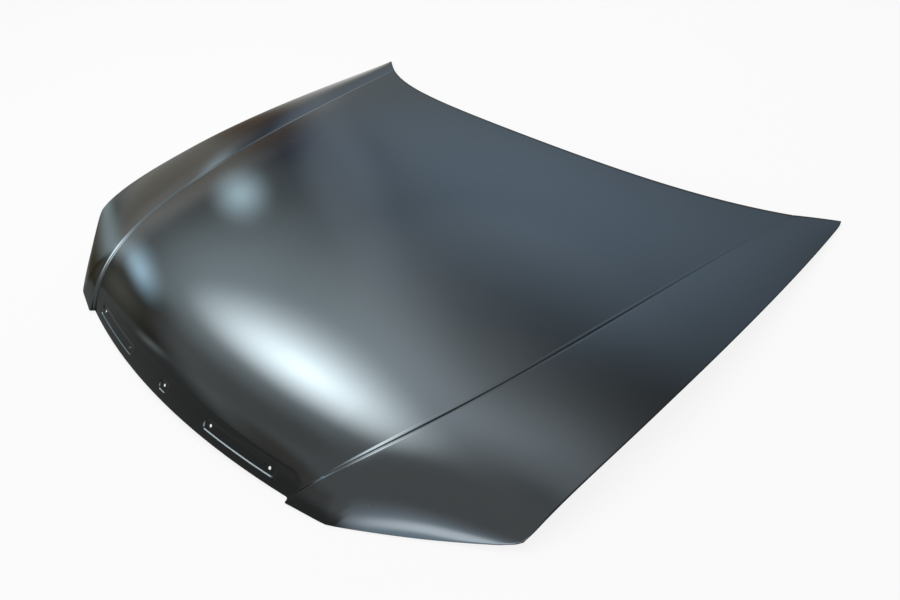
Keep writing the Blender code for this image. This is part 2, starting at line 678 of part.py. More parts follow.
def make_inner_panel(parts, cutters, material):
    columns = half_columns(fine=False)
    rows = all_rows()
    flange = SKIN_SHEET + HEM_GAP

    x, y = perimeter(columns, rows, FLANGE_EDGE, FLANGE_EDGE, FLANGE_EDGE)
    outer = (np.stack([x, y], -1), under_skin(x, y, flange + notch_drop(x, y)))
    outlines = []
    x, y = perimeter(columns, rows, FLANGE_WIDTH, FLANGE_WIDTH_FRONT, FLANGE_WIDTH)
    fall = notch_drop(x, y) + NOTCH_FALL * notch_relief(x, y)
    outlines.append((np.stack([x, y], -1), under_skin(x, y, flange + fall)))
    x, y = perimeter(columns, rows, CHANNEL_FOOT, CHANNEL_FOOT_FRONT, CHANNEL_FOOT)
    foot = np.stack([x, y], -1)
    outlines.append((foot, under_skin(x, y, channel_depth(x, y), detailed=False)))

    holes = []
    keep_clear = []
    for corners in window_corners():
        edge = rounded_outline(corners, 0.0, WINDOW_RADIUS)
        rim = rounded_outline(corners, RIM_WIDTH, WINDOW_RADIUS)
        wall_foot = rounded_outline(corners, RIM_WIDTH + WINDOW_WALL, WINDOW_RADIUS)
        depth = np.full(len(edge), RIM_DEPTH)
        holes.append((edge, under_skin(edge[:, 0], edge[:, 1], depth, detailed=False)))
        outlines.append((rim, under_skin(rim[:, 0], rim[:, 1], depth, detailed=False)))
        deep = channel_depth(wall_foot[:, 0], wall_foot[:, 1])
        outlines.append((wall_foot, under_skin(wall_foot[:, 0], wall_foot[:, 1], deep, detailed=False)))
        keep_clear.append(wall_foot)
    for middle_x, middle_y, width, length, height in pads().values():
        corners = rectangle(middle_x, middle_y, width, length)
        pad = rounded_outline(corners, 0.0, PAD_RADIUS, edge_cuts=1, arc_cuts=2)
        skirt = rounded_outline(corners, PAD_SKIRT, PAD_RADIUS, edge_cuts=1, arc_cuts=2)
        level = np.column_stack([pad, np.full(len(pad), height)])
        outlines.append((pad, level))
        deep = channel_depth(skirt[:, 0], skirt[:, 1])
        outlines.append((skirt, under_skin(skirt[:, 0], skirt[:, 1], deep, detailed=False)))
        keep_clear.append(skirt)

    loose = loose_floor_points(columns, rows, foot, keep_clear)
    deep = channel_depth(loose[:, 0], loose[:, 1])
    loose_places = under_skin(loose[:, 0], loose[:, 1], deep, detailed=False)
    panel = pressed_sheet(outer, holes, outlines, (loose, loose_places), "inner_panel",
                          parts, material, PANEL_SHEET, is_side(2 * len(columns) - 1, len(rows)))

    for name, (x, y, height) in bolt_places().items():
        cutter = cylinder("panel_hole_" + name, cutters, BOLT_HOLE_RADIUS, CUTTER_LENGTH,
                          (x, y, height), (0, 0, 1))
        cut_with(panel, cutter)
    for sign in (-1, 1):
        for number in range(DRAIN_COUNT):
            y = DRAIN_FIRST_Y + number * DRAIN_PITCH
            x = sign * (float(side_x(y)) - DRAIN_INSIDE)
            depth = float(channel_depth(np.array(x), np.array(y)))
            middle = under_skin(x, y, depth, detailed=False)
            axis = surface_normal(np.array(x), np.array(y))
            name = f"drain_{'left' if sign > 0 else 'right'}_{number + 1}"
            cut_with(panel, cylinder(name, cutters, DRAIN_RADIUS, CUTTER_LENGTH, middle, axis))
    return panel


def loose_floor_points(columns, rows, foot, keep_clear):
    # Points that let the wide floors follow the skin, away from every outline
    x, y = mirrored(*plan_grid(columns[::2], rows[5::2]))
    points = np.stack([x.ravel(), y.ravel()], -1)
    keep = is_inside(points, foot)
    for outline in keep_clear:
        keep &= ~is_inside(points, outline)
    points = points[keep]
    edges = np.concatenate([foot] + keep_clear)
    nearest = np.min(np.linalg.norm(points[:, None] - edges[None], axis=2), axis=1)
    return points[nearest > FLOOR_MARGIN]


# Reinforcements, weld nuts and mastic

def make_plate(name, pad, bolts, parts, cutters, material):
    # A pressed plate that lies in its pad on the panel, with its edge turned up all round
    middle_x, middle_y, width, length, height = pad
    corners = rectangle(middle_x, middle_y, width - 2 * PLATE_MARGIN, length - 2 * PLATE_MARGIN)
    flat = rounded_outline(corners, -PLATE_FLANGE_RUN, PAD_RADIUS, edge_cuts=0, arc_cuts=2)
    edge = rounded_outline(corners, 0.0, PAD_RADIUS, edge_cuts=0, arc_cuts=2)
    base = height + GAP + PLATE_SHEET
    level = np.column_stack([flat, np.full(len(flat), base)])
    raised = np.column_stack([edge, np.full(len(edge), base + PLATE_FLANGE)])
    plate = pressed_sheet((edge, raised), [], [(flat, level)], None, name, parts, material, PLATE_SHEET)
    for bolt in bolts:
        x, y, _ = bolt_places()[bolt]
        cutter = cylinder(f"{name}_hole_{bolt}", cutters, BOLT_HOLE_RADIUS, CUTTER_LENGTH,
                          (x, y, height), (0, 0, 1))
        cut_with(plate, cutter)
    return plate


def make_nut(name, place, parts, cutters, material):
    x, y, height = place
    base = height + GAP + PLATE_SHEET + GAP
    collar = cylinder(name, parts, NUT_COLLAR_RADIUS, NUT_COLLAR_HEIGHT,
                      (x, y, base + NUT_COLLAR_HEIGHT / 2), (0, 0, 1), sides=16)
    collar.data.materials.append(material)
    hexagon = cylinder(name + "_hexagon", cutters, NUT_FLATS / np.sqrt(3), NUT_HEIGHT,
                       (x, y, base + NUT_COLLAR_HEIGHT / 2 + NUT_HEIGHT / 2), (0, 0, 1), sides=6)
    join = collar.modifiers.new("hexagon", 'BOOLEAN')
    join.operation = 'UNION'
    join.object = hexagon
    join.solver = 'EXACT'
    bore = cylinder(name + "_bore", cutters, NUT_BORE_RADIUS, 4 * NUT_HEIGHT, (x, y, base), (0, 0, 1), sides=12)
    cut_with(collar, bore)
    return collar


def make_drop(name, x, y, skin, parts, material):
    # Mastic between a window rim and the underside of the skin, turned about the panel's normal
    foot = Vector(under_skin(x, y, RIM_DEPTH - GAP, detailed=False))
    normal = Vector(surface_normal(np.array(x), np.array(y)))
    found, underside, _, _ = skin.ray_cast(foot, normal)
    height = (underside - foot).length - GAP if found else RIM_DEPTH - SKIN_SHEET - 2 * GAP
    flat = DROP_BULGE * DROP_RADIUS
    profile = [(0.0, height), (flat, height), (DROP_RADIUS, height / 2), (flat, 0.0), (0.0, 0.0)]
    bm = bmesh.new()
    verts = [bm.verts.new((radius, 0.0, z)) for radius, z in profile]
    for first, second in zip(verts, verts[1:]):
        bm.edges.new((first, second))
    drop = object_from(bm, name, parts, material)
    turn = drop.modifiers.new("turned", 'SCREW')
    turn.angle = 2 * np.pi
    turn.steps = DROP_SIDES
    turn.render_steps = DROP_SIDES
    turn.use_merge_vertices = True
    turn.merge_threshold = 0.00005
    drop.rotation_euler = normal.to_track_quat('Z', 'Y').to_euler()
    drop.location = foot
    return drop


def drop_places():
    # In the middle of the rim, at the middle of the two longest sides of each window
    places = []
    for corners in window_corners():
        corners = np.array(corners)
        sides = np.roll(corners, -1, 0) - corners
        lengths = np.linalg.norm(sides, axis=1)
        centre = corners.mean(0)
        for k in sorted(np.argsort(lengths)[-2:]):
            middle = corners[k] + sides[k] / 2
            outward = np.array([sides[k][1], -sides[k][0]]) / lengths[k]
            if outward @ (middle - centre) < 0:
                outward = -outward
            places.append(middle + outward * RIM_WIDTH / 2)
    return places


def stand_on_floor(parts, skin):
    # An empty carries every piece and puts the lowest point at z = 0 under the middle of the box
    bpy.context.view_layer.update()
    shaped = skin.evaluated_get(bpy.context.evaluated_depsgraph_get())
    places = np.array([shaped.matrix_world @ vert.co for vert in shaped.data.vertices])
    low, high = places.min(0), places.max(0)
    carrier = bpy.data.objects.new("bonnet", None)
    bpy.context.scene.collection.objects.link(carrier)
    carrier.location = (0.0, -(low[1] + high[1]) / 2, -low[2])
    for thing in list(bpy.data.objects):
        if thing.type == 'MESH':
            thing.parent = carrier
    bpy.context.view_layer.update()


def main():
    clear_scene()
    parts = new_collection("car bonnet")
    cutters = new_collection("cutters")
    primer = new_material("black primer", (0.014, 0.015, 0.016), 0.28, 0.0)
    inner_primer = new_material("black primer inside", (0.017, 0.018, 0.019), 0.42, 0.0)
    steel = new_material("primed steel", (0.030, 0.031, 0.032), 0.40, 0.0)
    mastic = new_material("mastic", (0.045, 0.044, 0.042), 0.75, 0.0)

    skin = make_skin(parts, cutters, primer)
    make_inner_panel(parts, cutters, inner_primer)
    for name, pad in pads().items():
        bolts = [bolt for bolt in bolt_places() if bolt.startswith(name)]
        kind, _, side = name.partition("_")
        plate_name = f"{kind}_reinforcement_{side}" if side else f"{kind}_reinforcement"
        make_plate(plate_name, pad, bolts, parts, cutters, steel)
    for name, place in bolt_places().items():
        make_nut("weld_nut_" + name, place, parts, cutters, steel)
    bpy.context.view_layer.update()
    shaped = skin.evaluated_get(bpy.context.evaluated_depsgraph_get())
    for number, (x, y) in enumerate(drop_places(), 1):
        make_drop(f"mastic_drop_{number:02d}", float(x), float(y), shaped, parts, mastic)
    for thing in parts.objects:
        thing.data.shade_smooth()
        thing.data.set_sharp_from_angle(angle=np.radians(SHARP_EDGE))
    stand_on_floor(parts, skin)


main()
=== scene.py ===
import math

import bmesh
import bpy
import numpy as np
from mathutils import Matrix, Vector
from mathutils.geometry import delaunay_2d_cdt


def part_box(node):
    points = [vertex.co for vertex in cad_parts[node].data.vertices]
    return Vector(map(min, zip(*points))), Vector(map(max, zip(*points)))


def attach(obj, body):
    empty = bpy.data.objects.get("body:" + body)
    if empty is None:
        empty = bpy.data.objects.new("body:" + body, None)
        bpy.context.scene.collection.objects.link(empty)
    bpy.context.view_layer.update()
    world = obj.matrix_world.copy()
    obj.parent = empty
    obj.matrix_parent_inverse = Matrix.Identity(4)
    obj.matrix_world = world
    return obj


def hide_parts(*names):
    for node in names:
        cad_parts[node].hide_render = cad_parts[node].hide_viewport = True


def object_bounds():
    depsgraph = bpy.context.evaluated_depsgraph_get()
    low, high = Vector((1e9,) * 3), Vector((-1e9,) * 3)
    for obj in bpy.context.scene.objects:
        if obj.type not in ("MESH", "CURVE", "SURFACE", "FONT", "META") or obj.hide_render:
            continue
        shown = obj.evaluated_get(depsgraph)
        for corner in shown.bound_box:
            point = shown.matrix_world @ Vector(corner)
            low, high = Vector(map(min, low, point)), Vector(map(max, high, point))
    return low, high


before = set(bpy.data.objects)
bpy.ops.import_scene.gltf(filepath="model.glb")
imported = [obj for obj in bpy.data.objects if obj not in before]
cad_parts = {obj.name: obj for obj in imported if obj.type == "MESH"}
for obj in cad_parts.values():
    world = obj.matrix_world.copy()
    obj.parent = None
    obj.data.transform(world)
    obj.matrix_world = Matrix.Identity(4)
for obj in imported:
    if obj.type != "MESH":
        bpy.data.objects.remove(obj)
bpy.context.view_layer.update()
print("frame loaded:", len(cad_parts), "nodes")

# The shape is worked out with y = 0 at the two front notches and z = 0 at their height.
# The left hinge reinforcement, whose place in that frame is known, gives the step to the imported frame.
hinge = {"x": 0.585, "aheadOfRear": 0.1443, "underside": 0.0063}
hingeLow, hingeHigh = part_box("hinge_reinforcement_left")


# Outline and height of the outer skin

outline = {
    "halfWidth": 0.7306, "widestY": 0.700, "sideBowFront": 0.095, "sideBowRear": 0.080,
    "lipY": -0.0296, "lipBow": 0.270,
    "notchX": 0.364, "notchHalfWidth": 0.005, "tipY": -0.0045, "tipSlope": 0.25,
    "headlampX": 0.449, "headlampRound": 0.004, "headlampSlope": 0.59, "headlampBow": 0.30,
    "rearY": 0.9796, "rearSweep": 0.2465, "rearSweepOuter": 0.302,
    "cornerReach": 0.030, "cornerCut": 0.0025,
}
height = {
    "peak": 0.112, "peakY": 0.400, "centreFall": 0.105,
    "crown": 0.150, "crownLoss": 0.110, "crownLossY": 0.500,
    "side": 0.0395, "sideFallY": 0.500, "sideFallLength": 0.670, "sideBulge": 0.0025,
    "sideFallStart": 1.7, "sideFallFinish": 1.3,
    "noseRoll": 0.075, "lipRise": 0.008, "headlampDip": 0.003, "headlampRise": 0.175,
    "edgeFall": 0.0018, "edgeFallLength": 0.012, "edgeFallStart": 0.480, "edgeFallFull": 0.600,
}
crease = {
    "slope": 0.12802, "flare": 0.122, "flareLength": 0.195,
    "bead": 0.0006, "groove": 0.0007,
    "beadStart": -0.0062, "beadTop": -0.0022, "grooveFoot": 0.0020, "grooveEnd": 0.0042,
    "startY": 0.045, "fullY": 0.085, "fadeY": 0.270, "endY": 1.000, "remains": 0.30,
    "halfWidth": 0.005, "ribbonHalfWidth": 0.0065, "reliefRun": 0.0035, "reliefReach": 0.030,
}
nose = {
    "bandWidth": 0.030, "bandStep": 0.0008, "bandEdge": 0.004,
    "recessX": 0.230, "recessLength": 0.188, "recessBehind": 0.0175, "recessWidth": 0.017,
    "recessDepth": 0.0029, "recessWall": 0.0032, "badgeLength": 0.031,
    "holeSpacing": 0.153, "holeRadius": 0.0030, "cutterReach": 0.004, "rodSides": 32,
    "accessRadius": 0.009, "accessLength": 0.021, "accessReach": 0.032, "accessGap": 0.0001,
}
sheet = {
    "skin": 0.0008, "panel": 0.0007, "hemGap": 0.0005,
    "hemWidth": 0.0115, "hemWidthFront": 0.0062, "hemWidthNotch": 0.0028, "foldSteps": 7,
}
sheet["hemRadius"] = (2 * sheet["skin"] + sheet["panel"] + 2 * sheet["hemGap"]) / 2


def softStep(t):
    t = np.clip(t, 0.0, 1.0)
    return t * t * (3.0 - 2.0 * t)  # rises from 0 to 1 with level ends


def stepBetween(value, start, end):
    return softStep((value - start) / (end - start))


def ramp(t, rounding=0.15):
    # Rises from 0 to 1 on a straight line with a short parabola at each end
    t = np.clip(t, 0.0, 1.0)
    bend = 0.5 / (rounding * (1 - rounding))
    ends = np.where(t < 0.5, bend * t * t, 1 - bend * (1 - t) ** 2)
    return np.where((t > rounding) & (t < 1 - rounding), (t - rounding / 2) / (1 - rounding), ends)


def sideX(y):
    # A parabola each way from the widest place
    ahead = outline["widestY"] - y
    bow = np.where(ahead > 0, outline["sideBowFront"], outline["sideBowRear"])
    return outline["halfWidth"] - bow * ahead ** 2


def creaseX(y):
    # A straight line that flares from the notch and settles exponentially
    flare = crease["flare"] * (1 - np.exp(-y / crease["flareLength"]))
    return outline["notchX"] + crease["slope"] * y + flare


def beyondNotch(x, halfWidth):
    return softStep((x - outline["notchX"] + halfWidth) / (2 * halfWidth))


def lipY(x):
    return outline["lipY"] + outline["lipBow"] * x ** 2


def lampY(x):
    # Two slopes joined over the headlamp corner
    past = x - outline["headlampX"]
    outer = 0.5 * (past + np.sqrt(past * past + outline["headlampRound"] ** 2))
    lamp = outline["tipY"] + outline["tipSlope"] * (x - outline["notchX"])
    steeper = outline["headlampSlope"] - outline["tipSlope"]
    return lamp + steeper * outer + outline["headlampBow"] * outer ** 2


def frontY(x, halfWidth):
    # A parabola between the notches, and the edge along the headlamp outside them
    share = beyondNotch(x, halfWidth)
    return (1 - share) * lipY(x) + share * lampY(x)


def rearY(x):
    return outline["rearY"] + outline["rearSweep"] * x ** 2 + outline["rearSweepOuter"] * x ** 4


notchY = (hingeLow.y + hingeHigh.y) / 2 - (rearY(hinge["x"]) - hinge["aheadOfRear"])
lift = hingeLow.z - hinge["underside"]


def crownedHeight(x, y):
    # Two parabolas, along and across, with less crown towards the rear
    crown = height["crown"] - height["crownLoss"] * np.maximum(y - height["crownLossY"], 0.0) ** 2
    return height["peak"] - height["centreFall"] * (y - height["peakY"]) ** 2 - crown * x ** 2


def sideHeight(y):
    along = np.clip((y - height["sideFallY"]) / height["sideFallLength"], 0.0, 1.0)
    return height["side"] * (1 - along ** height["sideFallStart"]) ** height["sideFallFinish"]


def unrolledHeight(x, y):
    # Crowned inside the crease, and a slightly full straight fall from there to the side edge
    at = creaseX(y)
    out = np.maximum((x - at) / (sideX(y) - at), 0.0)
    bulge = 4 * height["sideBulge"] * out * (1 - out)
    side = (1 - out) * crownedHeight(at, y) + out * sideHeight(y) + bulge
    return np.where(x > at, side, crownedHeight(x, y))


def plainHeight(x, y):
    # The height that the front edge lacks fades exponentially with the distance behind it. Inside
    # the crease that edge is the lip, outside it the headlamp's. A ribbon along the crease joins the two.
    x = np.abs(x)
    lip = height["lipRise"] * (1 - (x / outline["notchX"]) ** 2)
    dip = height["headlampDip"] * stepBetween(x, outline["notchX"], outline["headlampX"])
    lamp = height["headlampRise"] * np.maximum(x - outline["headlampX"], 0.0) ** 2 - dip
    lacking = []
    for front, level in ((lipY(x), lip), (lampY(x), lamp)):
        lacking.append((unrolledHeight(x, front) - level) * np.exp(-(y - front) / height["noseRoll"]))
    half = crease["ribbonHalfWidth"]
    share = softStep((x - creaseX(y) + half) / (2 * half))
    return unrolledHeight(x, y) - (1 - share) * lacking[0] - share * lacking[1]


def pocket(x, behind, middle, length):
    # A slot with round ends, at full depth inside and rising over its wall
    past = np.maximum(np.abs(x - middle) - (length - nose["recessWidth"]) / 2, 0.0)
    inside = nose["recessWidth"] / 2 - np.hypot(past, behind - nose["recessBehind"])
    return nose["recessDepth"] * ramp(inside / nose["recessWall"])


def detailDepth(x, y):
    # The crease, which rises to a bead, falls into a groove and rises again, the step of the nose band,
    # the three recesses in it and the edge along the headlamps
    x = np.abs(x)
    strength = stepBetween(y, crease["startY"], crease["fullY"])
    fade = 1 - stepBetween(y, crease["fadeY"], crease["endY"])
    strength = strength * (crease["remains"] + (1 - crease["remains"]) * fade)
    out = x - creaseX(y)
    rise = stepBetween(out, crease["beadStart"], crease["beadTop"])
    fall = stepBetween(out, crease["beadTop"], crease["grooveFoot"])
    end = stepBetween(out, crease["grooveFoot"], crease["grooveEnd"])
    section = (crease["bead"] + crease["groove"]) * fall - crease["bead"] * rise - crease["groove"] * end
    softNotch = 3 * outline["notchHalfWidth"]
    behind = y - frontY(x, softNotch)
    band = 1 - softStep((behind - nose["bandWidth"]) / nose["bandEdge"])
    band = nose["bandStep"] * (1 - beyondNotch(x, softNotch)) * band
    recess = pocket(x, behind, nose["recessX"], nose["recessLength"])
    # Along the headlamp the last part of the skin turns down a little more
    outwards = stepBetween(x, height["edgeFallStart"], height["edgeFallFull"])
    turnedDown = height["edgeFall"] * outwards * np.exp(-behind / height["edgeFallLength"])
    return strength * section + band + recess + pocket(x, behind, 0.0, nose["badgeLength"]) + turnedDown


def surfaceNormal(x, y):
    step = 0.004  # wide enough to smooth the ribbon along the crease
    slopeX = (plainHeight(x + step, y) - plainHeight(x - step, y)) / (2 * step)
    slopeY = (plainHeight(x, y + step) - plainHeight(x, y - step)) / (2 * step)
    normal = np.stack([-slopeX, -slopeY, np.ones_like(slopeX)], -1)
    return normal / np.linalg.norm(normal, axis=-1, keepdims=True)


def underSkin(x, y, depth, detailed=True):
    # The point this deep under the skin, square to its plain form
    z = plainHeight(x, y) - (detailDepth(x, y) if detailed else 0.0)
    depth = np.broadcast_to(np.asarray(depth, float), np.shape(x))
    return np.stack([x, y, z], -1) - surfaceNormal(x, y) * depth[..., None]


def toFrame(points):
    return points + np.array([0.0, notchY, lift])


# Meshes from arrays

def placed(name, data):
    thing = bpy.data.objects.new(name, data)
    bpy.context.scene.collection.objects.link(thing)
    return thing


def meshFrom(name, points, faces):
    mesh = bpy.data.meshes.new(name)
    mesh.vertices.add(len(points))
    mesh.vertices.foreach_set("co", toFrame(points).astype(np.float32).ravel())
    mesh.loops.add(faces.size)
    mesh.loops.foreach_set("vertex_index", faces.astype(np.int32).ravel())
    mesh.polygons.add(len(faces))
    mesh.polygons.foreach_set("loop_start", np.arange(0, faces.size, faces.shape[1], dtype=np.int32))
    mesh.polygons.foreach_set("use_smooth", np.ones(len(faces), bool))
    mesh.update(calc_edges=True)
    return placed(name, mesh)


def gridQuads(index):
    corners = [index[:-1, :-1], index[:-1, 1:], index[1:, 1:], index[1:, :-1]]
    return np.stack([c.ravel() for c in corners], -1)


def ringQuads(ring, following):
    # Joins two closed rings of the same number of points
    return np.stack([ring, following, np.roll(following, -1), np.roll(ring, -1)], -1)


def rimOf(grid):
    # The outermost points of a grid in order: front, left side, rear, right side
    return np.concatenate([grid[0, :-1], grid[:-1, -1], grid[-1, :0:-1], grid[:0:-1, 0]])


def welded(piece):
    # Points that share a place, as at a pole, become one
    shape = bmesh.new()
    shape.from_mesh(piece.data)
    bmesh.ops.remove_doubles(shape, verts=shape.verts, dist=1e-6)
    shape.to_mesh(piece.data)
    shape.free()
    return piece


def applied(piece):
    # The piece with its modifiers made into plain mesh
    graph = bpy.context.evaluated_depsgraph_get()
    finished = bpy.data.meshes.new_from_object(piece.evaluated_get(graph))
    piece.modifiers.clear()
    piece.data = finished
    return piece


def stretch(start, end, spacing):
    return np.linspace(start, end, max(int(round((end - start) / spacing)), 1) + 1)[:-1]


def stations(stops, end):
    # Evenly divided stretches, each given by its start and its spacing
    ends = [start for start, _ in stops[1:]] + [end]
    return np.concatenate([stretch(start, stop, spacing) for (start, spacing), stop in zip(stops, ends)])


def roundAngles(points):
    return np.linspace(0, 2 * np.pi, points + 1)[:-1]


# Stations of the skin's grid: fine along the nose band, the crease and the ends of the recesses

skinGrid = {
    "wide": 0.0085, "fine": 0.0014, "creaseReach": 0.012, "rowReach": 0.040, "rounds": 90,
    "rowStops": ((0.0, 0.0016), (0.008, 0.0008), (0.0135, 0.0016), (0.0215, 0.0010), (0.0275, 0.0014)),
    "badgeReach": 0.018, "endOutside": 0.003, "endInside": 0.024,
    "sideColumns": 29, "flangeColumns": 6, "flangeStart": 0.965,
    "growReach": 0.16, "growPower": 1.3, "growRows": 23, "longRows": 92,
}


def skinColumns():
    # A column is a share of the crease's x, a share of the side edge's x and an offset
    wide, fine, reach = skinGrid["wide"], skinGrid["fine"], skinGrid["creaseReach"]
    outside, inside = skinGrid["endOutside"], skinGrid["endInside"]
    edge = creaseX(np.array(nose["recessBehind"])) - reach
    first, last = nose["recessX"] - nose["recessLength"] / 2, nose["recessX"] + nose["recessLength"] / 2
    stops = ((0.0, fine), (skinGrid["badgeReach"], wide), (first - outside, fine), (first + inside, wide),
             (last - inside, fine), (last + outside, wide / 2))
    share = stations(stops, edge) / edge
    columns = [np.stack([share, 0 * share, -reach * share], -1)]
    offset = stretch(-reach, reach, fine)
    columns.append(np.stack([1 + 0 * offset, 0 * offset, offset], -1))
    out = np.concatenate([np.linspace(0, skinGrid["flangeStart"], skinGrid["sideColumns"] + 1)[:-1],
                          np.linspace(skinGrid["flangeStart"], 1.0, skinGrid["flangeColumns"])])
    columns.append(np.stack([1 - out, out, (1 - out) * reach], -1))
    return np.concatenate(columns)


def skinRows():
    # A row is a share of the way from front to rear, with a margin behind the front
    reach, farReach = skinGrid["rowReach"], skinGrid["growReach"]
    grow = np.linspace(0, 1, skinGrid["growRows"] + 1)[:-1] ** skinGrid["growPower"]
    margins = np.concatenate([stations(skinGrid["rowStops"], reach), reach + (farReach - reach) * grow])
    rows = [np.stack([0 * margins, margins], -1)]
    share = np.linspace(0.0, 1.0, skinGrid["longRows"])
    rows.append(np.stack([share, (1 - share) * farReach], -1))
    return np.concatenate(rows)


def nearEdge(distance):
    return np.clip(1 - distance / outline["cornerReach"], 0.0, 1.0) ** 2


def planGrid(columns, rows, inset=(0.0, 0.0, 0.0)):
    # Settles x, which follows from y through the crease and side edge, with y, which follows from x
    sideInset, frontInset, rearInset = inset
    shareCrease, shareSide, offset = columns.T
    share, margin = rows[:, :1], np.maximum(rows[:, 1:], frontInset)
    margin = np.where(share > 0, rows[:, 1:], margin)
    y = outline["lipY"] + share * (outline["rearY"] - outline["lipY"]) + np.zeros((len(rows), len(columns)))
    for _ in range(skinGrid["rounds"]):
        x = np.minimum(shareCrease * creaseX(y) + shareSide * sideX(y) + offset, sideX(y) - sideInset)
        behind = np.minimum(rearY(x), rearY(x) - rearInset)
        target = (1 - share) * frontY(x, outline["notchHalfWidth"]) + margin + share * rearY(x)
        y = 0.5 * y + 0.5 * np.minimum(target, behind)
    # The outer corners are cut a little where a side and an end are both near
    nearSide = outline["cornerCut"] * nearEdge(sideX(y) - x)
    cutFront = nearSide * nearEdge(y - frontY(x, outline["notchHalfWidth"]))
    cutRear = nearSide * nearEdge(rearY(x) - y)
    x, y = x - cutFront - cutRear, y + cutFront - cutRear
    return np.concatenate([-x[:, :0:-1], x], 1), np.concatenate([y[:, :0:-1], y], 1)


def nearNotch(x, y):
    # 1 where the crease meets the front edge, and 0 a little way outwards
    past = (np.abs(np.abs(x) - creaseX(y)) - 2 * crease["halfWidth"]) / crease["reliefRun"]
    return (1 - softStep(past)) * (1 - softStep((y - crease["reliefReach"]) / crease["reliefReach"]))


def insetRim(inset, insetFront, relief):
    # The rim moved inwards from the edge, and further back by the relief at the notches
    x, y = planGrid(skinColumns(), skinRows(), (inset, insetFront, inset))
    x, y = rimOf(x), rimOf(y)
    back = nearNotch(x, y) * relief
    return x + np.sign(x) * (creaseX(y + back) - creaseX(y)), y + back


def buildSkin():
    x, y = planGrid(skinColumns(), skinRows())
    top = underSkin(x, y, 0.0)
    index = np.arange(x.size).reshape(x.shape)
    rim = rimOf(index)
    edgeX, edgeY = rimOf(x), rimOf(y)
    relief = sheet["hemWidthNotch"] - sheet["hemWidthFront"]
    insetX, insetY = insetRim(sheet["hemWidth"], sheet["hemWidthFront"], relief)
    edge = underSkin(edgeX, edgeY, 0.0)
    normal = surfaceNormal(edgeX, edgeY)
    outward = edge - underSkin(insetX, insetY, 0.0)
    outward -= normal * np.sum(outward * normal, -1, keepdims=True)
    outward /= np.linalg.norm(outward, axis=-1, keepdims=True)
    radius = sheet["hemRadius"]
    turns = np.linspace(0, np.pi, sheet["foldSteps"] + 1)[1:]
    # The fold is half a circle from the edge, down and under, and then runs back inwards
    rings = [edge + outward * radius * np.sin(t) - normal * radius * (1 - np.cos(t)) for t in turns]
    rings.append(underSkin(insetX, insetY, 2 * radius))
    points = np.concatenate([top.reshape(-1, 3)] + rings)
    quads = [gridQuads(index)]
    ring = rim
    for k in range(len(rings)):
        following = x.size + k * len(rim) + np.arange(len(rim))
        quads.append(ringQuads(ring, following))
        ring = following
    skin = meshFrom("bonnet_skin", points, np.concatenate(quads))
    solid = skin.modifiers.new("sheet", 'SOLIDIFY')
    solid.thickness = sheet["skin"]
    solid.offset = -1.0
    solid.use_even_offset = True
    return skin


def rodCutter(radius, long, above, below):
    # Five rods square to the skin, one at each end of the long recesses and one in the badge recess
    turn = roundAngles(nose["rodSides"])
    points, quads = [], []
    places = [0.0]
    for side in (-1, 1):
        places += [side * (nose["recessX"] + end * nose["holeSpacing"] / 2) for end in (-1, 1)]
    for number, x in enumerate(places):
        x = np.array(float(x))
        y = frontY(np.abs(x), outline["notchHalfWidth"]) + nose["recessBehind"]
        middle = underSkin(x, y, nose["recessDepth"], detailed=False)
        axis = surfaceNormal(x, y)
        across = np.cross(axis, [1.0, 0.0, 0.0])
        across /= np.linalg.norm(across)
        other = np.cross(axis, across)
        ring = radius * np.outer(np.cos(turn), across) + long * np.outer(np.sin(turn), other)
        low, high = middle - below * axis, middle + above * axis
        stack = [low + 0 * ring, low + ring, high + ring, high + 0 * ring]
        first = number * 4 * len(turn)
        index = first + np.arange(4 * len(turn)).reshape(4, len(turn))
        points += stack
        quads += [ringQuads(index[k], index[k + 1]) for k in range(3)]
    return welded(meshFrom("rods", np.concatenate(points), np.concatenate(quads)[:, ::-1]))


def cutHoles(piece, cutter):
    holes = piece.modifiers.new("holes", 'BOOLEAN')
    holes.object = cutter
    holes.operation = 'DIFFERENCE'
    holes.solver = 'EXACT'
    applied(piece)
    bpy.data.objects.remove(cutter)


skin = buildSkin()
cutHoles(skin, rodCutter(nose["holeRadius"], nose["holeRadius"], nose["cutterReach"], nose["cutterReach"]))
print("skin:", len(skin.data.polygons), "faces")


# Inner panel: rings along its edges, windows and pads, and loose points on the floors between them

panel = {
    "flangeEdge": 0.0013, "flangeWidth": 0.013, "flangeWidthFront": 0.0075,
    "foot": 0.030, "footFront": 0.022, "channelDepth": 0.024, "floorClearance": 0.0005,
    "notchRelief": 0.0095, "notchDrop": 0.0010,
    "rimDepth": 0.005, "rimWidth": 0.016, "windowWall": 0.014, "windowRadius": 0.028,
    "drainRadius": 0.009, "drainFirstY": 0.320, "drainPitch": 0.170, "drains": 4, "drainInside": 0.082,
    "drainRim": 0.004, "tightRing": 0.0006, "rearReach": 0.25,
    "floorSpacing": 0.011, "floorMargin": 0.006, "wallRings": 9,
}
windowPlan = {
    "frontStart": 0.187, "frontEnd": 0.470, "frontInside": 0.311,
    "centreStart": 0.245, "centreEnd": 0.500, "middleStart": 0.590, "middleAhead": 0.1146,
    "outerStart": 0.575, "outerAhead": 0.1496, "outerInside": 0.242,
    "centreRib": 0.090, "diagonalWidth": 0.097, "diagonalFrontX": 0.066, "diagonalRearInside": 0.382,
}
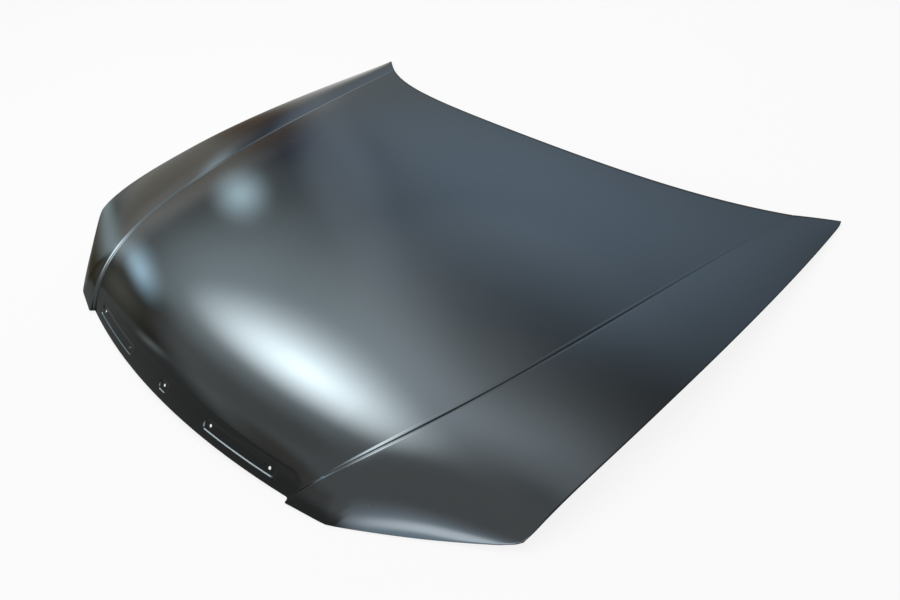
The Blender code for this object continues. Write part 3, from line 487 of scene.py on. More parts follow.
pad = {
    "hingeSize": (0.058, 0.110), "latchSize": (0.120, 0.056), "radius": 0.012, "skirt": 0.012,
    "hingeBolts": (0.0, 0.060), "latchBolts": (0.070, 0.0), "boltRadius": 0.005,
    "plateMargin": 0.004, "gap": 0.0003, "plateSheet": 0.0016, "plateFlange": 0.006, "plateRun": 0.003,
    "plateRing": 0.0008, "plateShares": (0.0, 0.15, 0.35, 0.6, 0.8, 1.0, 1.6), "skirtRings": 7,
}


def diagonalX(y):
    # The middle of the straight rib that runs outwards from the front beam to the rear
    rear = outline["rearY"] - windowPlan["middleAhead"]
    share = (y - windowPlan["frontStart"]) / (rear - windowPlan["frontStart"])
    rearX = float(sideX(rear)) - windowPlan["diagonalRearInside"]
    return windowPlan["diagonalFrontX"] + share * (rearX - windowPlan["diagonalFrontX"])


def windowCorners():
    # Counter-clockwise corners of the seven windows
    plan, half = windowPlan, windowPlan["diagonalWidth"] / 2
    start, end = plan["centreStart"], plan["centreEnd"]
    narrow, wide = diagonalX(start) - half, diagonalX(end) - half
    windows = [[(-narrow, start), (narrow, start), (wide, end), (-wide, end)]]
    start, end = plan["middleStart"], outline["rearY"] - plan["middleAhead"]
    rib = plan["centreRib"] / 2
    pairs = [[(rib, start), (diagonalX(start) - half, start), (diagonalX(end) - half, end), (rib, end)]]
    rear = outline["rearY"] - plan["outerAhead"]
    for start, end, inside in ((plan["frontStart"], plan["frontEnd"], plan["frontInside"]),
                               (plan["outerStart"], rear, plan["outerInside"])):
        near, far = diagonalX(start) + half, diagonalX(end) + half
        pairs.append([(near, start), (float(sideX(start)) - inside, start),
                      (float(sideX(end)) - inside, end), (far, end)])
    for corners in pairs:
        windows += [corners, [(-x, y) for x, y in reversed(corners)]]
    return [np.array(corners) for corners in windows]


def rectangle(x, y, size):
    low, high = (x - size[0] / 2, y - size[1] / 2), (x + size[0] / 2, y + size[1] / 2)
    return np.array([low, (high[0], low[1]), high, (low[0], high[1])])


def arcCentres(corners, radius):
    # Where the centre of each corner's arc lies, and the angles at which the arc starts and ends
    side = np.roll(corners, -1, 0) - corners
    end = np.arctan2(side[:, 1], side[:, 0]) - np.pi / 2
    start = np.roll(end, 1)
    turn = (end - start) % (2 * np.pi)
    middle = start + turn / 2
    inwards = radius / np.cos(turn / 2)
    return corners - inwards[:, None] * np.stack([np.cos(middle), np.sin(middle)], -1), start, turn


def roundedRing(corners, radius, grow, arcPoints=9, sidePoints=20):
    # A polygon with round corners, moved outwards: an arc at each corner and evenly divided sides
    centre, start, turn = arcCentres(corners, radius)
    angle = start[:, None] + turn[:, None] * np.linspace(0, 1, arcPoints)
    arc = centre[:, None] + (radius + grow) * np.stack([np.cos(angle), np.sin(angle)], -1)
    first, last = arc[:, -1], np.roll(arc[:, 0], -1, 0)
    share = np.linspace(0, 1, sidePoints + 2)[1:-1]
    side = first[:, None] + (last - first)[:, None] * share[:, None]
    return np.concatenate([arc, side], 1).reshape(-1, 2)


def circle(x, y, radius, points=28):
    turn = roundAngles(points)
    return np.stack([x + radius * np.cos(turn), y + radius * np.sin(turn)], -1)


def ringDistance(x, y, corners, radius):
    # Distance from the polygon of the arc centres less the radius, below 0 inside the ring
    centre = arcCentres(corners, radius)[0]
    nearest, inside = np.full(x.shape, np.inf), np.ones(x.shape, bool)
    for (ax, ay), (bx, by) in zip(centre, np.roll(centre, -1, 0)):
        ex, ey = bx - ax, by - ay
        along = np.clip(((x - ax) * ex + (y - ay) * ey) / (ex * ex + ey * ey), 0, 1)
        nearest = np.minimum(nearest, np.hypot(x - ax - along * ex, y - ay - along * ey))
        inside &= ex * (y - ay) - ey * (x - ax) > 0
    return np.where(inside, -nearest, nearest) - radius


def channelDepth(x, y):
    # Full depth under the high part of the skin, and shallower where the skin comes down to the floor
    available = plainHeight(x, y) + height["headlampDip"] + 2 * sheet["hemRadius"] - sheet["panel"]
    flange = sheet["skin"] + sheet["hemGap"] + sheet["panel"]
    return np.clip(available - panel["floorClearance"] - flange, flange, panel["channelDepth"])


def onFloor(ring):
    return underSkin(ring[:, 0], ring[:, 1], channelDepth(ring[:, 0], ring[:, 1]), detailed=False)


def pressedSheet(name, rings, holes, loose, thickness):
    # Rings and loose points, each as flat points and their places, joined by triangles in plan
    outlines = rings + holes
    flat = np.concatenate([ring for ring, _ in outlines] + [loose[0]])
    places = np.concatenate([place for _, place in outlines] + [loose[1]])
    edges, first = [], 0
    for ring, _ in outlines:
        index = first + np.arange(len(ring))
        edges.append(np.stack([index, np.roll(index, -1)], -1))
        first += len(ring)
    inPlan = [Vector(point) for point in flat.tolist()]
    found = delaunay_2d_cdt(inPlan, np.concatenate(edges).tolist(), [], 0, 1e-7)
    source = np.array([origin[0] for origin in found[3]])
    corners = np.array(found[2])
    middle = flat[source[corners]].mean(1)
    keep = isInside(middle, rings[0][0])
    for ring, _ in holes:
        keep &= ~isInside(middle, ring)
    corners = source[corners[keep]]
    used, corners = np.unique(corners, return_inverse=True)
    return sheetMesh(name, places[used], corners.reshape(-1, 3), thickness)


def isInside(points, ring):
    # Even and odd crossings of a line to the right of each point
    x, y = points[:, 0], points[:, 1]
    inside = np.zeros(len(points), bool)
    for (ax, ay), (bx, by) in zip(ring, np.roll(ring, -1, 0)):
        if ay != by:
            inside ^= ((ay > y) != (by > y)) & (x < ax + (y - ay) / (by - ay) * (bx - ax))
    return inside


def sheetMesh(name, places, corners, thickness):
    a, b, c = (places[corners[:, k]][:, :2] for k in range(3))
    turned = (b[:, 0] - a[:, 0]) * (c[:, 1] - a[:, 1]) - (b[:, 1] - a[:, 1]) * (c[:, 0] - a[:, 0]) < 0
    corners[turned] = corners[turned][:, ::-1]
    piece = meshFrom(name, places, corners)
    solid = piece.modifiers.new("sheet", 'SOLIDIFY')
    solid.thickness = thickness
    solid.offset = -1.0
    solid.use_even_offset = True
    return applied(piece)


def perimeterRings():
    # The flange follows the skin in the hem. Behind it the wall falls to the channel's floor in an S.
    flange = sheet["skin"] + sheet["hemGap"]
    relief = panel["notchRelief"]
    edge = insetRim(panel["flangeEdge"], panel["flangeEdge"], relief)
    bend = insetRim(panel["flangeWidth"], panel["flangeWidthFront"], relief)
    foot = insetRim(panel["foot"], panel["footFront"], relief)
    rings = []
    for share in (0.0, 0.5, 1.0):
        x, y = (edge[k] + share * (bend[k] - edge[k]) for k in range(2))
        away = np.abs(np.abs(x) - creaseX(y)) / (2 * crease["halfWidth"])
        drop = panel["notchDrop"] * (1 - softStep(away)) * nearNotch(x, y)
        rings.append((np.stack([x, y], -1), underSkin(x, y, flange + drop)))
    for share in np.linspace(0, 1, panel["wallRings"])[1:]:
        x, y = (bend[k] + share * (foot[k] - bend[k]) for k in range(2))
        fall = softStep(share)
        deep = flange + fall * (channelDepth(x, y) - flange)
        place = (1 - fall) * underSkin(x, y, deep) + fall * underSkin(x, y, deep, detailed=False)
        rings.append((np.stack([x, y], -1), place))
    return rings


def windowRings(corners):
    # A flat rim round the window and a wall down to the floor, with both bends rounded
    edge, wall = panel["rimWidth"], panel["windowWall"]
    rings = []
    onWall = edge + wall * np.linspace(0, 1, panel["wallRings"])
    for grow in np.concatenate([[0.0, panel["tightRing"], edge / 2], onWall]):
        ring = roundedRing(corners, panel["windowRadius"], grow)
        fall = softStep((grow - edge) / wall)
        deep = panel["rimDepth"] + fall * (channelDepth(ring[:, 0], ring[:, 1]) - panel["rimDepth"])
        rings.append((ring, underSkin(ring[:, 0], ring[:, 1], deep, detailed=False)))
    return rings


def padRings(x, y, size, level):
    # A level pad and its skirt up or down to the floor
    rings = []
    onSkirt = pad["skirt"] * np.linspace(0, 1, pad["skirtRings"])
    for grow in np.concatenate([[-0.5 * pad["radius"]], onSkirt]):
        ring = roundedRing(rectangle(x, y, size), pad["radius"], grow, 7, 6)
        share = softStep(grow / pad["skirt"])
        place = (1 - share) * np.column_stack([ring, np.full(len(ring), level)]) + share * onFloor(ring)
        rings.append((ring, place))
    return rings


def padPlaces():
    # Each pad's middle, size, height and the step between its two bolts, from the plate that lies in it
    places = {}
    for name in ("hinge_reinforcement_left", "hinge_reinforcement_right", "latch_reinforcement"):
        low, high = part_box(name)
        kind = "hinge" if name.startswith("hinge") else "latch"
        x, y = (low.x + high.x) / 2, (low.y + high.y) / 2 - notchY
        places[name] = (x, y, pad[kind + "Size"], low.z - pad["gap"] - lift, pad[kind + "Bolts"])
    return places


def boltRing(x, y, step, end, level, grow=0.0):
    ring = circle(x + end * step[0] / 2, y + end * step[1] / 2, pad["boltRadius"] + grow)
    return ring, np.column_stack([ring, np.full(len(ring), level)])


def buildInnerPanel():
    rings, holes = perimeterRings(), []
    foot = rings[-1][0]
    apart = []
    spacing = panel["floorSpacing"]
    x, y = np.meshgrid(np.arange(-outline["halfWidth"], outline["halfWidth"], spacing),
                       np.arange(outline["lipY"], outline["rearY"] + panel["rearReach"], spacing))
    x, y = (x + 0.5 * spacing * (np.arange(len(x)) % 2)[:, None]).ravel(), y.ravel()
    for corners in windowCorners():
        first, *others = windowRings(corners)
        holes.append(first)
        rings += others
        distance = ringDistance(x, y, corners, panel["windowRadius"])
        apart.append(distance - panel["rimWidth"] - panel["windowWall"])
    for padX, padY, size, level, step in padPlaces().values():
        rings += padRings(padX, padY, size, level)
        apart.append(ringDistance(x, y, rectangle(padX, padY, size), pad["radius"]) - pad["skirt"])
        for end in (-1, 1):
            holes.append(boltRing(padX, padY, step, end, level))
            rings.append(boltRing(padX, padY, step, end, level, panel["tightRing"]))
    for sign in (-1, 1):
        for drainY in panel["drainFirstY"] + panel["drainPitch"] * np.arange(panel["drains"]):
            drainX = sign * (float(sideX(drainY)) - panel["drainInside"])
            for grow in (0.0, panel["tightRing"], panel["drainRim"]):
                ring = circle(drainX, drainY, panel["drainRadius"] + grow)
                (rings if grow else holes).append((ring, onFloor(ring)))
            apart.append(np.hypot(x - drainX, y - drainY) - panel["drainRadius"] - panel["drainRim"])
    keep = np.min(apart, 0) > panel["floorMargin"]
    x, y = x[keep], y[keep]
    within = sideX(y) - np.abs(x) > panel["foot"] + panel["floorMargin"]
    within &= y - frontY(np.abs(x), outline["notchHalfWidth"]) > panel["footFront"] + panel["notchRelief"]
    within &= rearY(x) - y > panel["foot"] + panel["floorMargin"]
    loose = np.stack([x[within], y[within]], -1)
    loose = loose[isInside(loose, foot)]
    return pressedSheet("inner_panel_pressed", rings, holes, (loose, onFloor(loose)), sheet["panel"])


def buildPlate(name, x, y, size, level, step):
    # A plate that lies in its pad, with its edge turned up all round in a rounded bend
    base = level + pad["gap"] + pad["plateSheet"]
    corners = rectangle(x, y, (size[0] - 2 * pad["plateMargin"], size[1] - 2 * pad["plateMargin"]))
    rings = []
    for share in pad["plateShares"]:
        rise = pad["plateFlange"] * max(1 - share, 0.0) ** 2
        ring = roundedRing(corners, pad["radius"], -share * pad["plateRun"], 9, 8)
        rings.append((ring, np.column_stack([ring, np.full(len(ring), base + rise)])))
    holes = [boltRing(x, y, step, end, base) for end in (-1, 1)]
    rings += [boltRing(x, y, step, end, base, pad["plateRing"]) for end in (-1, 1)]
    nothing = np.zeros((0, 2)), np.zeros((0, 3))
    return pressedSheet(name, rings, holes, nothing, pad["plateSheet"])


innerPanel = buildInnerPanel()
# The trim is fastened from behind, through wider holes under those of the skin
accessTop = -sheet["skin"] - nose["accessGap"]
cutHoles(innerPanel, rodCutter(nose["accessRadius"], nose["accessLength"], accessTop, nose["accessReach"]))
print("inner panel:", len(innerPanel.data.polygons), "faces")
plates = {name: buildPlate(name + "_plate", *place) for name, place in padPlaces().items()}


# Weld nuts: a collar, a hexagon with its top corners chamfered, and a threaded bore

nut = {
    "flats": 0.013, "height": 0.0065, "bore": 0.0035, "collar": 0.0095, "collarHeight": 0.0015,
    "pitch": 0.00125, "threadDepth": 0.0004, "points": 72, "threadRings": 57,
    "bevel": 0.0003, "boreBevel": 0.0006,
    "coneWidth": 0.96, "coneSlope": 1.7, "coneLow": 0.0022, "coneHigh": 0.0001, "coneRings": 8,
}


def buildWeldNut(node):
    # A closed section, in radius and height, carried round the axis. The radius of the flats follows
    # a hexagon's, cut by a cone at the top, and the bore's is a helix of triangular threads.
    low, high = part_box(node)
    turn = roundAngles(nut["points"])
    hexagon = nut["flats"] / 2 / np.cos((turn + np.pi / 6) % (np.pi / 3) - np.pi / 6)
    shoulder, bevel, bore = nut["collarHeight"], nut["bevel"], nut["bore"] + nut["boreBevel"]
    top = shoulder / 2 + nut["height"]
    rings = [(nut["collar"] - bevel, 0.0), (nut["collar"], bevel), (nut["collar"], shoulder - bevel),
             (nut["collar"] - bevel, shoulder)]
    cone = np.linspace(top - nut["coneLow"], top - nut["coneHigh"], nut["coneRings"])
    for level in np.concatenate([[shoulder], cone, [top]]):
        widest = nut["flats"] / 2 * nut["coneWidth"] + (top - level) * nut["coneSlope"]
        rings.append((np.minimum(hexagon, widest), level))
    rings.append((bore, top))
    for level in np.linspace(top - nut["boreBevel"], nut["boreBevel"], nut["threadRings"]):
        wave = np.abs(((level / nut["pitch"] + turn / (2 * np.pi)) % 1.0) * 2 - 1)
        rings.append((nut["bore"] + nut["threadDepth"] * (1 - wave), level))
    rings.append((bore, 0.0))
    radius, level = (np.array([np.broadcast_to(ring[k], turn.shape) for ring in rings]) for k in range(2))
    middleX, middleY = (low.x + high.x) / 2, (low.y + high.y) / 2
    points = np.stack([middleX + radius * np.cos(turn), middleY + radius * np.sin(turn), low.z + level], -1)
    index = np.arange(radius.size).reshape(radius.shape)
    quads = np.concatenate([ringQuads(index[k], index[(k + 1) % len(index)]) for k in range(len(index))])
    return meshFrom(node + "_threaded", points.reshape(-1, 3) - toFrame(np.zeros(3)), quads[:, ::-1])


# Mastic: soft blobs squeezed between a window rim and the skin

mastic = {"radius": 0.006, "bulge": 0.82, "rings": 15, "points": 40, "wander": 0.05, "gap": 0.0003}


def buildMastic(node, seed):
    # A flat-topped section bulging at mid height, its radius wandering a little round the drop
    low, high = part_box(node)
    x, y = np.array((low.x + high.x) / 2), np.array((low.y + high.y) / 2 - notchY)
    axis = surfaceNormal(x, y)
    across = np.cross([0.0, 1.0, 0.0], axis)
    across /= np.linalg.norm(across)
    other = np.cross(axis, across)
    turn = roundAngles(mastic["points"])
    share = np.linspace(0, 1, mastic["rings"])
    bulge = mastic["bulge"] + (1 - mastic["bulge"]) * np.sqrt(np.maximum(1 - (2 * share - 1) ** 2, 0))
    wander = 1 + np.sin(3 * turn + seed) * np.cos(2 * turn - seed)
    radius = mastic["radius"] * bulge[:, None] * (1 - mastic["wander"] * wander)
    radius = np.concatenate([radius[:1] * 0, radius[:1] * 0.5, radius, radius[-1:] * 0.5, radius[-1:] * 0])
    share = np.concatenate([[0, 0], share, [1, 1]])
    bottom, top = panel["rimDepth"] - mastic["gap"], sheet["skin"] + mastic["gap"]
    foot = underSkin(x, y, bottom, detailed=False)
    points = foot + share[:, None, None] * (bottom - top) * axis
    points = points + radius[..., None] * (np.cos(turn)[:, None] * across + np.sin(turn)[:, None] * other)
    index = np.arange(radius.size).reshape(radius.shape)
    quads = [ringQuads(index[k], index[k + 1]) for k in range(len(index) - 1)]
    return welded(meshFrom(node + "_squeezed", points.reshape(-1, 3), np.concatenate(quads)[:, ::-1]))


nodes = list(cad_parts)
nuts = {node: buildWeldNut(node) for node in nodes if node.startswith("weld_nut")}
masticNodes = [node for node in nodes if node.startswith("mastic")]
drops = {node: buildMastic(node, number) for number, node in enumerate(masticNodes)}
print("pieces under the skin:", len(plates) + len(nuts) + len(drops))


# Materials

def addNode(tree, kind, inputs, **settings):
    # Each input is a plain value or another node's output
    thing = tree.nodes.new("ShaderNode" + kind)
    for key, value in settings.items():
        setattr(thing, key, value)
    for key, value in inputs.items():
        if isinstance(value, bpy.types.NodeSocket):
            tree.links.new(value, thing.inputs[key])
        else:
            thing.inputs[key].default_value = value
    return thing


def between(tree, value, start, end, low=0.0, high=1.0):
    # A smooth step of a value from low at the start to high at the end
    inputs = {"Value": value, "From Min": start, "From Max": end, "To Min": low, "To Max": high}
    return addNode(tree, "MapRange", inputs, interpolation_type='SMOOTHSTEP').outputs["Result"]


def maths(tree, operation, *values):
    return addNode(tree, "Math", dict(enumerate(values)), operation=operation).outputs[0]


def vectors(tree, operation, inputs):
    return addNode(tree, "VectorMath", inputs, operation=operation).outputs["Vector"]


def seesMirrored(tree, path):
    # 1 for rays that leave a glossy or clear surface
    return maths(tree, 'MAXIMUM', path["Is Glossy Ray"], path["Is Transmission Ray"])


def noise(tree, place, scale, detail=2.0, roughness=0.5):
    inputs = {"Vector": place, "Scale": scale, "Detail": detail, "Roughness": roughness}
    return addNode(tree, "TexNoise", inputs).outputs["Fac"]


grime = {
    "cloudScale": 5.0, "cloudDulling": 0.06, "filmScale": 2.6, "filmRange": (0.42, 0.74),
    "speckScale": 34.0, "speckSize": 0.045, "speckShare": 0.80, "dustDulling": 0.35,
    "scuffScale": (5.0, 210.0, 5.0), "scuffTurn": 0.75, "scuffRange": (0.66, 0.72),
    "patchScale": 5.5, "patchRange": (0.60, 0.68), "scuffPaleness": 0.35, "scuffDulling": 0.25,
    "peelScale": 330.0, "waveScale": 13.0,
}


def buildGrime():
    # Dust in a thin film and single specks, fine scuffs in patches, and the height of the paint's peel
    tree = bpy.data.node_groups.new("primer film", 'ShaderNodeTree')
    tree.interface.new_socket("Place", in_out='INPUT', socket_type='NodeSocketVector')
    for name in ("Roughness", "Dust", "Specks", "Scuffs", "Peel", "Waves"):
        tree.interface.new_socket(name, in_out='INPUT', socket_type='NodeSocketFloat')
    for name in ("Pale", "Roughness", "Height"):
        tree.interface.new_socket(name, in_out='OUTPUT', socket_type='NodeSocketFloat')
    given = tree.nodes.new("NodeGroupInput").outputs
    place = given["Place"]
    clouds = noise(tree, place, grime["cloudScale"], 3.0)
    film = between(tree, noise(tree, place, grime["filmScale"], 5.0, 0.62), *grime["filmRange"])
    film = maths(tree, 'MULTIPLY', film, given["Dust"])
    cells = addNode(tree, "TexVoronoi", {"Vector": place, "Scale": grime["speckScale"]})
    chosen = between(tree, cells.outputs["Color"], grime["speckShare"], grime["speckShare"] + 0.02)
    speck = between(tree, cells.outputs["Distance"], grime["speckSize"], grime["speckSize"] * 0.4)
    speck = maths(tree, 'MULTIPLY', maths(tree, 'MULTIPLY', speck, chosen), given["Specks"])
    inputs = {"Vector": place, "Rotation": (0.0, 0.0, grime["scuffTurn"]), "Scale": grime["scuffScale"]}
    turned = addNode(tree, "Mapping", inputs).outputs["Vector"]
    scuff = between(tree, noise(tree, turned, 1.0, 2.0), *grime["scuffRange"])
    patch = between(tree, noise(tree, place, grime["patchScale"], 1.0), *grime["patchRange"])
    scuff = maths(tree, 'MULTIPLY', maths(tree, 'MULTIPLY', scuff, patch), given["Scuffs"])
    dust = maths(tree, 'ADD', film, speck)
    pale = maths(tree, 'MULTIPLY_ADD', scuff, grime["scuffPaleness"], dust)
    rough = maths(tree, 'MULTIPLY_ADD', clouds, grime["cloudDulling"], given["Roughness"])
    rough = maths(tree, 'SUBTRACT', rough, grime["cloudDulling"] / 2)
    rough = maths(tree, 'MULTIPLY_ADD', scuff, grime["scuffDulling"], rough)
    rough = maths(tree, 'MULTIPLY_ADD', dust, grime["dustDulling"], rough)
    peel = maths(tree, 'MULTIPLY', noise(tree, place, grime["peelScale"], 2.0), given["Peel"])
    waves = maths(tree, 'MULTIPLY', noise(tree, place, grime["waveScale"], 2.0), given["Waves"])
    result = tree.nodes.new("NodeGroupOutput").inputs
    for name, value in (("Pale", pale), ("Roughness", rough), ("Height", maths(tree, 'ADD', peel, waves))):
        tree.links.new(value, result[name])
    return tree


# Each finish: paint colour, dust colour, roughness, shares of dust, specks and scuffs, two bump heights
# in mm and the index of refraction
finishKeys = ("paint", "pale", "roughness", "dust", "specks", "scuffs", "peel", "waves", "ior")
finishes = {
    "skin primer": ((0.0070, 0.0075, 0.0080), (0.075, 0.073, 0.070),
                    0.10, 0.03, 1.0, 0.25, 0.0016, 0.030, 1.52),
    "panel primer": ((0.0125, 0.0130, 0.0135), (0.090, 0.086, 0.080),
                     0.24, 0.16, 1.0, 0.35, 0.0040, 0.050, 1.50),
    "reinforcement": ((0.022, 0.0225, 0.023), (0.110, 0.105, 0.098),
                      0.42, 0.22, 0.8, 0.9, 0.0060, 0.020, 1.50),
    "weld nut": ((0.024, 0.0245, 0.025), (0.20, 0.19, 0.175),
                 0.40, 0.25, 0.6, 1.0, 0.0090, 0.010, 1.50),
    "mastic": ((0.036, 0.0355, 0.034), (0.130, 0.125, 0.115),
               0.68, 0.30, 1.0, 0.0, 0.0250, 0.060, 1.45),
}
primerFilm = buildGrime()


def buildMaterial(name):
    # Black paint that dust and scuffs turn paler and duller
    look = dict(zip(finishKeys, finishes[name]))
    material = bpy.data.materials.new(name)
    material.use_nodes = True
    tree = material.node_tree
    shader = tree.nodes["Principled BSDF"]
    shader.inputs["IOR"].default_value = look["ior"]
    place = addNode(tree, "TexCoord", {}).outputs["Object"]
    film = tree.nodes.new("ShaderNodeGroup")
    film.node_tree = primerFilm
    tree.links.new(place, film.inputs["Place"])
    for key in ("roughness", "dust", "specks", "scuffs", "peel", "waves"):
        film.inputs[key.capitalize()].default_value = look[key]
    inputs = {"Factor": film.outputs["Pale"], "A": (*look["paint"], 1), "B": (*look["pale"], 1)}
    colour = addNode(tree, "Mix", inputs, data_type='RGBA')
    bump = addNode(tree, "Bump", {"Height": film.outputs["Height"], "Distance": 0.001})
    tree.links.new(colour.outputs["Result"], shader.inputs["Base Color"])
    tree.links.new(film.outputs["Roughness"], shader.inputs["Roughness"])
    tree.links.new(bump.outputs["Normal"], shader.inputs["Normal"])
    return material


def finish(piece, material, node):
    piece.data.materials.clear()
    piece.data.materials.append(material)
    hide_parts(node)
    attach(piece, "root")


materials = {name: buildMaterial(name) for name in finishes}
finish(skin, materials["skin primer"], "outer_skin")
finish(innerPanel, materials["panel primer"], "inner_panel")
for node, piece in plates.items():
    finish(piece, materials["reinforcement"], node)
for node, piece in nuts.items():
    finish(piece, materials["weld nut"], node)
for node, piece in drops.items():
    finish(piece, materials["mastic"], node)
print("materials done")


# Floor, surround, lamps and camera

studio = {
    "floorSize": 60.0, "floorColour": (0.90, 0.90, 0.90), "floorGlow": 0.85, "glowColour": (1.0, 1.0, 1.0),
    "ambient": (0.60, 0.60, 0.60), "backdrop": (0.965, 0.965, 0.965), "mirrored": (0.248, 0.272, 0.264),
    "darkest": (0.02, 0.02, 0.02), "lampColour": (0.96, 1.0, 1.0),
}


def buildFloor():
    half = studio["floorSize"] / 2
    mesh = bpy.data.meshes.new("floor")
    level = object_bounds()[0].z
    corners = [(-half, -half, level), (half, -half, level), (half, half, level), (-half, half, level)]
    mesh.from_pydata(corners, [], [(0, 1, 2, 3)])
    material = bpy.data.materials.new("white floor")
    material.use_nodes = True
    tree = material.node_tree
    tree.nodes.remove(tree.nodes["Principled BSDF"])
    matt = addNode(tree, "BsdfDiffuse", {"Color": (*studio["floorColour"], 1)}).outputs[0]
    glow = addNode(tree, "Emission", {"Color": (*studio["glowColour"], 1)}).outputs[0]
    path = addNode(tree, "LightPath", {}).outputs
    share = maths(tree, 'MULTIPLY', path["Is Camera Ray"], studio["floorGlow"])
    lit = addNode(tree, "MixShader", {0: share, 1: matt, 2: glow}).outputs[0]
    # Nothing hides the bonnet's underside, and the paint mirrors the room below it
    clear = addNode(tree, "BsdfTransparent", {}).outputs[0]
    side = addNode(tree, "NewGeometry", {}).outputs["Backfacing"]
    through = maths(tree, 'MAXIMUM', side, seesMirrored(tree, path))
    whole = addNode(tree, "MixShader", {0: through, 1: lit, 2: clear}).outputs[0]
    tree.links.new(whole, tree.nodes["Material Output"].inputs["Surface"])
    material.cycles.emission_sampling = 'NONE'
    mesh.materials.append(material)
    placed("floor", mesh)


# What the paint mirrors. Each card is a soft ellipse on a map of directions, in degrees from straight up:
# its middle, its half sizes, its turn, the share of its size within which it has its full brightness
# (below 0 the middle stays under it), and its colour. Cards with colours below 0 darken what lies there.
cards = {
    "softbox": ((-31.8, 2.0), (26.6, 15.6), 0.3, -0.30, (21.6, 25.1, 26.6)),
    "softboxSpill": ((-38.3, 5.0), (36.5, 29.8), -19.2, 0.25, (2.1, 2.7, 3.0)),
    "rearWindow": ((-25.0, 46.8), (60.0, 25.5), 11.8, -0.05, (0.76, 1.13, 1.58)),
    "rearBeam": ((-16.5, 30.5), (27.2, 15.1), -1.9, 0.09, (-1.48, -1.76, -2.00)),
    "farSpot": ((-64.8, 24.3), (8.5, 5.0), -22.4, -0.30, (3.0, 4.2, 4.8)),
    "sideSpot": ((-66.8, -5.5), (7.3, 14.1), 24.4, -0.30, (2.8, 4.4, 5.6)),
    "lowWindow": ((-77.0, -2.0), (34.2, 10.1), -6.1, -0.30, (1.19, 1.57, 1.73)),
    "farWall": ((-78.4, 32.1), (11.0, 45.0), 3.2, 0.40, (1.00, 1.00, 1.00)),
    "frontWall": ((-7.9, -28.8), (59.6, 37.8), -17.4, 0.71, (0.80, 0.91, 0.97)),
    "headlampWindow": ((29.9, -81.7), (57.6, 17.4), -67.4, 0.56, (2.2, 3.1, 3.9)),
    "ceiling": ((-15.3, 20.9), (35.2, 26.1), -21.3, 0.03, (2.7, 3.2, 3.6)),
    "sideShade": ((-63.6, -14.8), (51.4, 18.0), -18.2, 0.81, (-0.16, -0.20, -0.23)),
    "farBeam": ((-74.8, 35.2), (8.8, 29.9), -84.0, 0.14, (-0.29, -0.35, -0.35)),
    "farDoor": ((-76.6, 25.4), (7.5, 31.6), -7.0, 0.36, (-0.77, -0.81, -0.87)),
    "sideStreak": ((-61.6, -35.5), (3.2, 7.5), 80.2, -0.03, (0.84, 1.02, 1.01)),
    "sideWall": ((-71.7, -20.1), (15.6, 18.2), 25.2, -0.29, (0.43, 0.47, 0.43)),
    "frontDoor": ((-25.8, -48.8), (19.8, 11.2), -35.6, 0.28, (-0.53, -0.67, -0.76)),
    "farStreak": ((-54.9, 34.0), (26.2, 6.2), -21.9, 0.32, (0.30, 0.36, 0.42)),
    "headlampGleam": ((18.9, -42.0), (6.0, 30.0), -19.4, 0.42, (5.6, 6.0, 6.3)),
    "below": ((0.0, 130.0), (70.0, 45.0), 0.0, 0.0, (0.9, 0.95, 1.0)),
    "belowSpot": ((-60.0, 115.0), (35.0, 20.0), 0.0, 0.2, (2.0, 2.1, 2.2)),
}


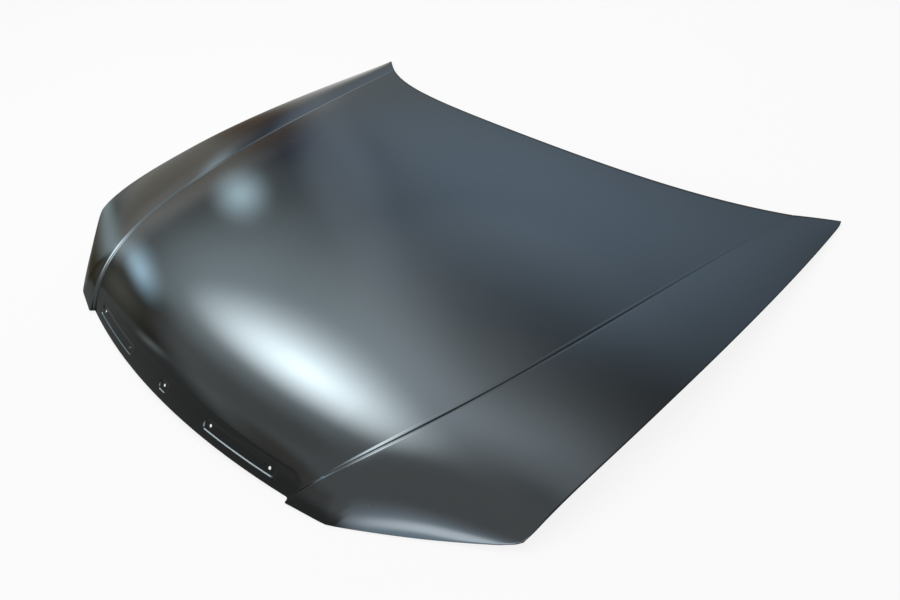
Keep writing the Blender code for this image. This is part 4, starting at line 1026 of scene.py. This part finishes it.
def buildSurround():
    # Pale for the camera, even light for matt surfaces, and a dim room with the cards for glossy ones
    world = bpy.data.worlds.new("studio")
    bpy.context.scene.world = world
    world.use_nodes = True
    world.cycles.sampling_method = 'NONE'
    tree = world.node_tree
    direction = addNode(tree, "TexCoord", {}).outputs["Generated"]
    parts = addNode(tree, "SeparateXYZ", {0: direction}).outputs
    flat = addNode(tree, "CombineXYZ", {0: parts[0], 1: parts[1]}).outputs[0]
    flat = vectors(tree, 'NORMALIZE', {0: flat})
    fromTop = maths(tree, 'MULTIPLY', maths(tree, 'ARCCOSINE', parts[2]), 180 / math.pi)
    chart = vectors(tree, 'SCALE', {0: flat, "Scale": fromTop})
    shown = addNode(tree, "CombineXYZ", dict(enumerate(studio["mirrored"]))).outputs[0]
    for middle, size, turn, start, colour in cards.values():
        inputs = {"Vector": chart, "Location": (*middle, 0.0), "Rotation": (0.0, 0.0, math.radians(turn)),
                  "Scale": (*size, 1.0)}
        inside = addNode(tree, "Mapping", inputs, vector_type='TEXTURE').outputs["Vector"]
        away = addNode(tree, "VectorMath", {0: inside}, operation='LENGTH').outputs["Value"]
        card = vectors(tree, 'SCALE', {0: colour, "Scale": between(tree, away, 1.0, start)})
        shown = vectors(tree, 'ADD', {0: shown, 1: card})
    shown = vectors(tree, 'MAXIMUM', {0: shown, 1: studio["darkest"]})
    path = addNode(tree, "LightPath", {}).outputs
    inputs = {"Factor": seesMirrored(tree, path), "A": (*studio["ambient"], 1), "B": shown}
    seen = addNode(tree, "Mix", inputs, data_type='RGBA').outputs["Result"]
    inputs = {"Factor": path["Is Camera Ray"], "A": seen, "B": (*studio["backdrop"], 1)}
    whole = addNode(tree, "Mix", inputs, data_type='RGBA').outputs["Result"]
    tree.links.new(whole, tree.nodes["Background"].inputs["Color"])


# Each lamp: its middle in the shape's frame, the point it faces, its two sides and its brightness
lamps = {
    "softbox": {"at": (-1.35, 0.28, 2.10), "facing": (0.0, 0.30, 0.05), "size": (1.0, 0.50), "glow": 7.0},
    "fill": {"at": (-0.60, 0.70, 2.60), "facing": (0.0, 0.45, 0.0), "size": (2.6, 2.6), "glow": 0.60},
}


def buildLamp(name, lamp):
    light = bpy.data.lights.new(name, 'AREA')
    light.shape = 'RECTANGLE'
    long, wide = lamp["size"]
    light.size, light.size_y = long, wide
    light.color = studio["lampColour"]
    light.energy = lamp["glow"] * math.pi * long * wide  # power from brightness and area
    thing = placed(name, light)
    at = Vector(toFrame(np.array(lamp["at"])))
    facing = Vector(toFrame(np.array(lamp["facing"])))
    thing.location = at
    thing.rotation_euler = (facing - at).to_track_quat('-Z', 'X').to_euler()
    thing.visible_camera = False
    thing.visible_glossy = False  # the paint mirrors the cards instead


camera = {
    "at": (1.13855, -0.22392, 1.02992), "lens": 30.8, "sensor": 36.0,
    "right": (0.69990218, 0.70480225, -0.11571828), "down": (0.41332491, -0.53180888, -0.7391494),
}


def buildCamera():
    lens = bpy.data.cameras.new("camera")
    lens.lens = camera["lens"]
    lens.sensor_width = camera["sensor"]
    thing = placed("camera", lens)
    right, up = Vector(camera["right"]), -Vector(camera["down"])
    turn = Matrix([right, up, right.cross(up)]).transposed()
    thing.matrix_world = Matrix.Translation(Vector(toFrame(np.array(camera["at"])))) @ turn.to_4x4()
    bpy.context.scene.camera = thing


buildFloor()
buildSurround()
for name, lamp in lamps.items():
    buildLamp(name, lamp)
buildCamera()
bpy.context.scene.view_settings.view_transform = 'Standard'
print("studio done")
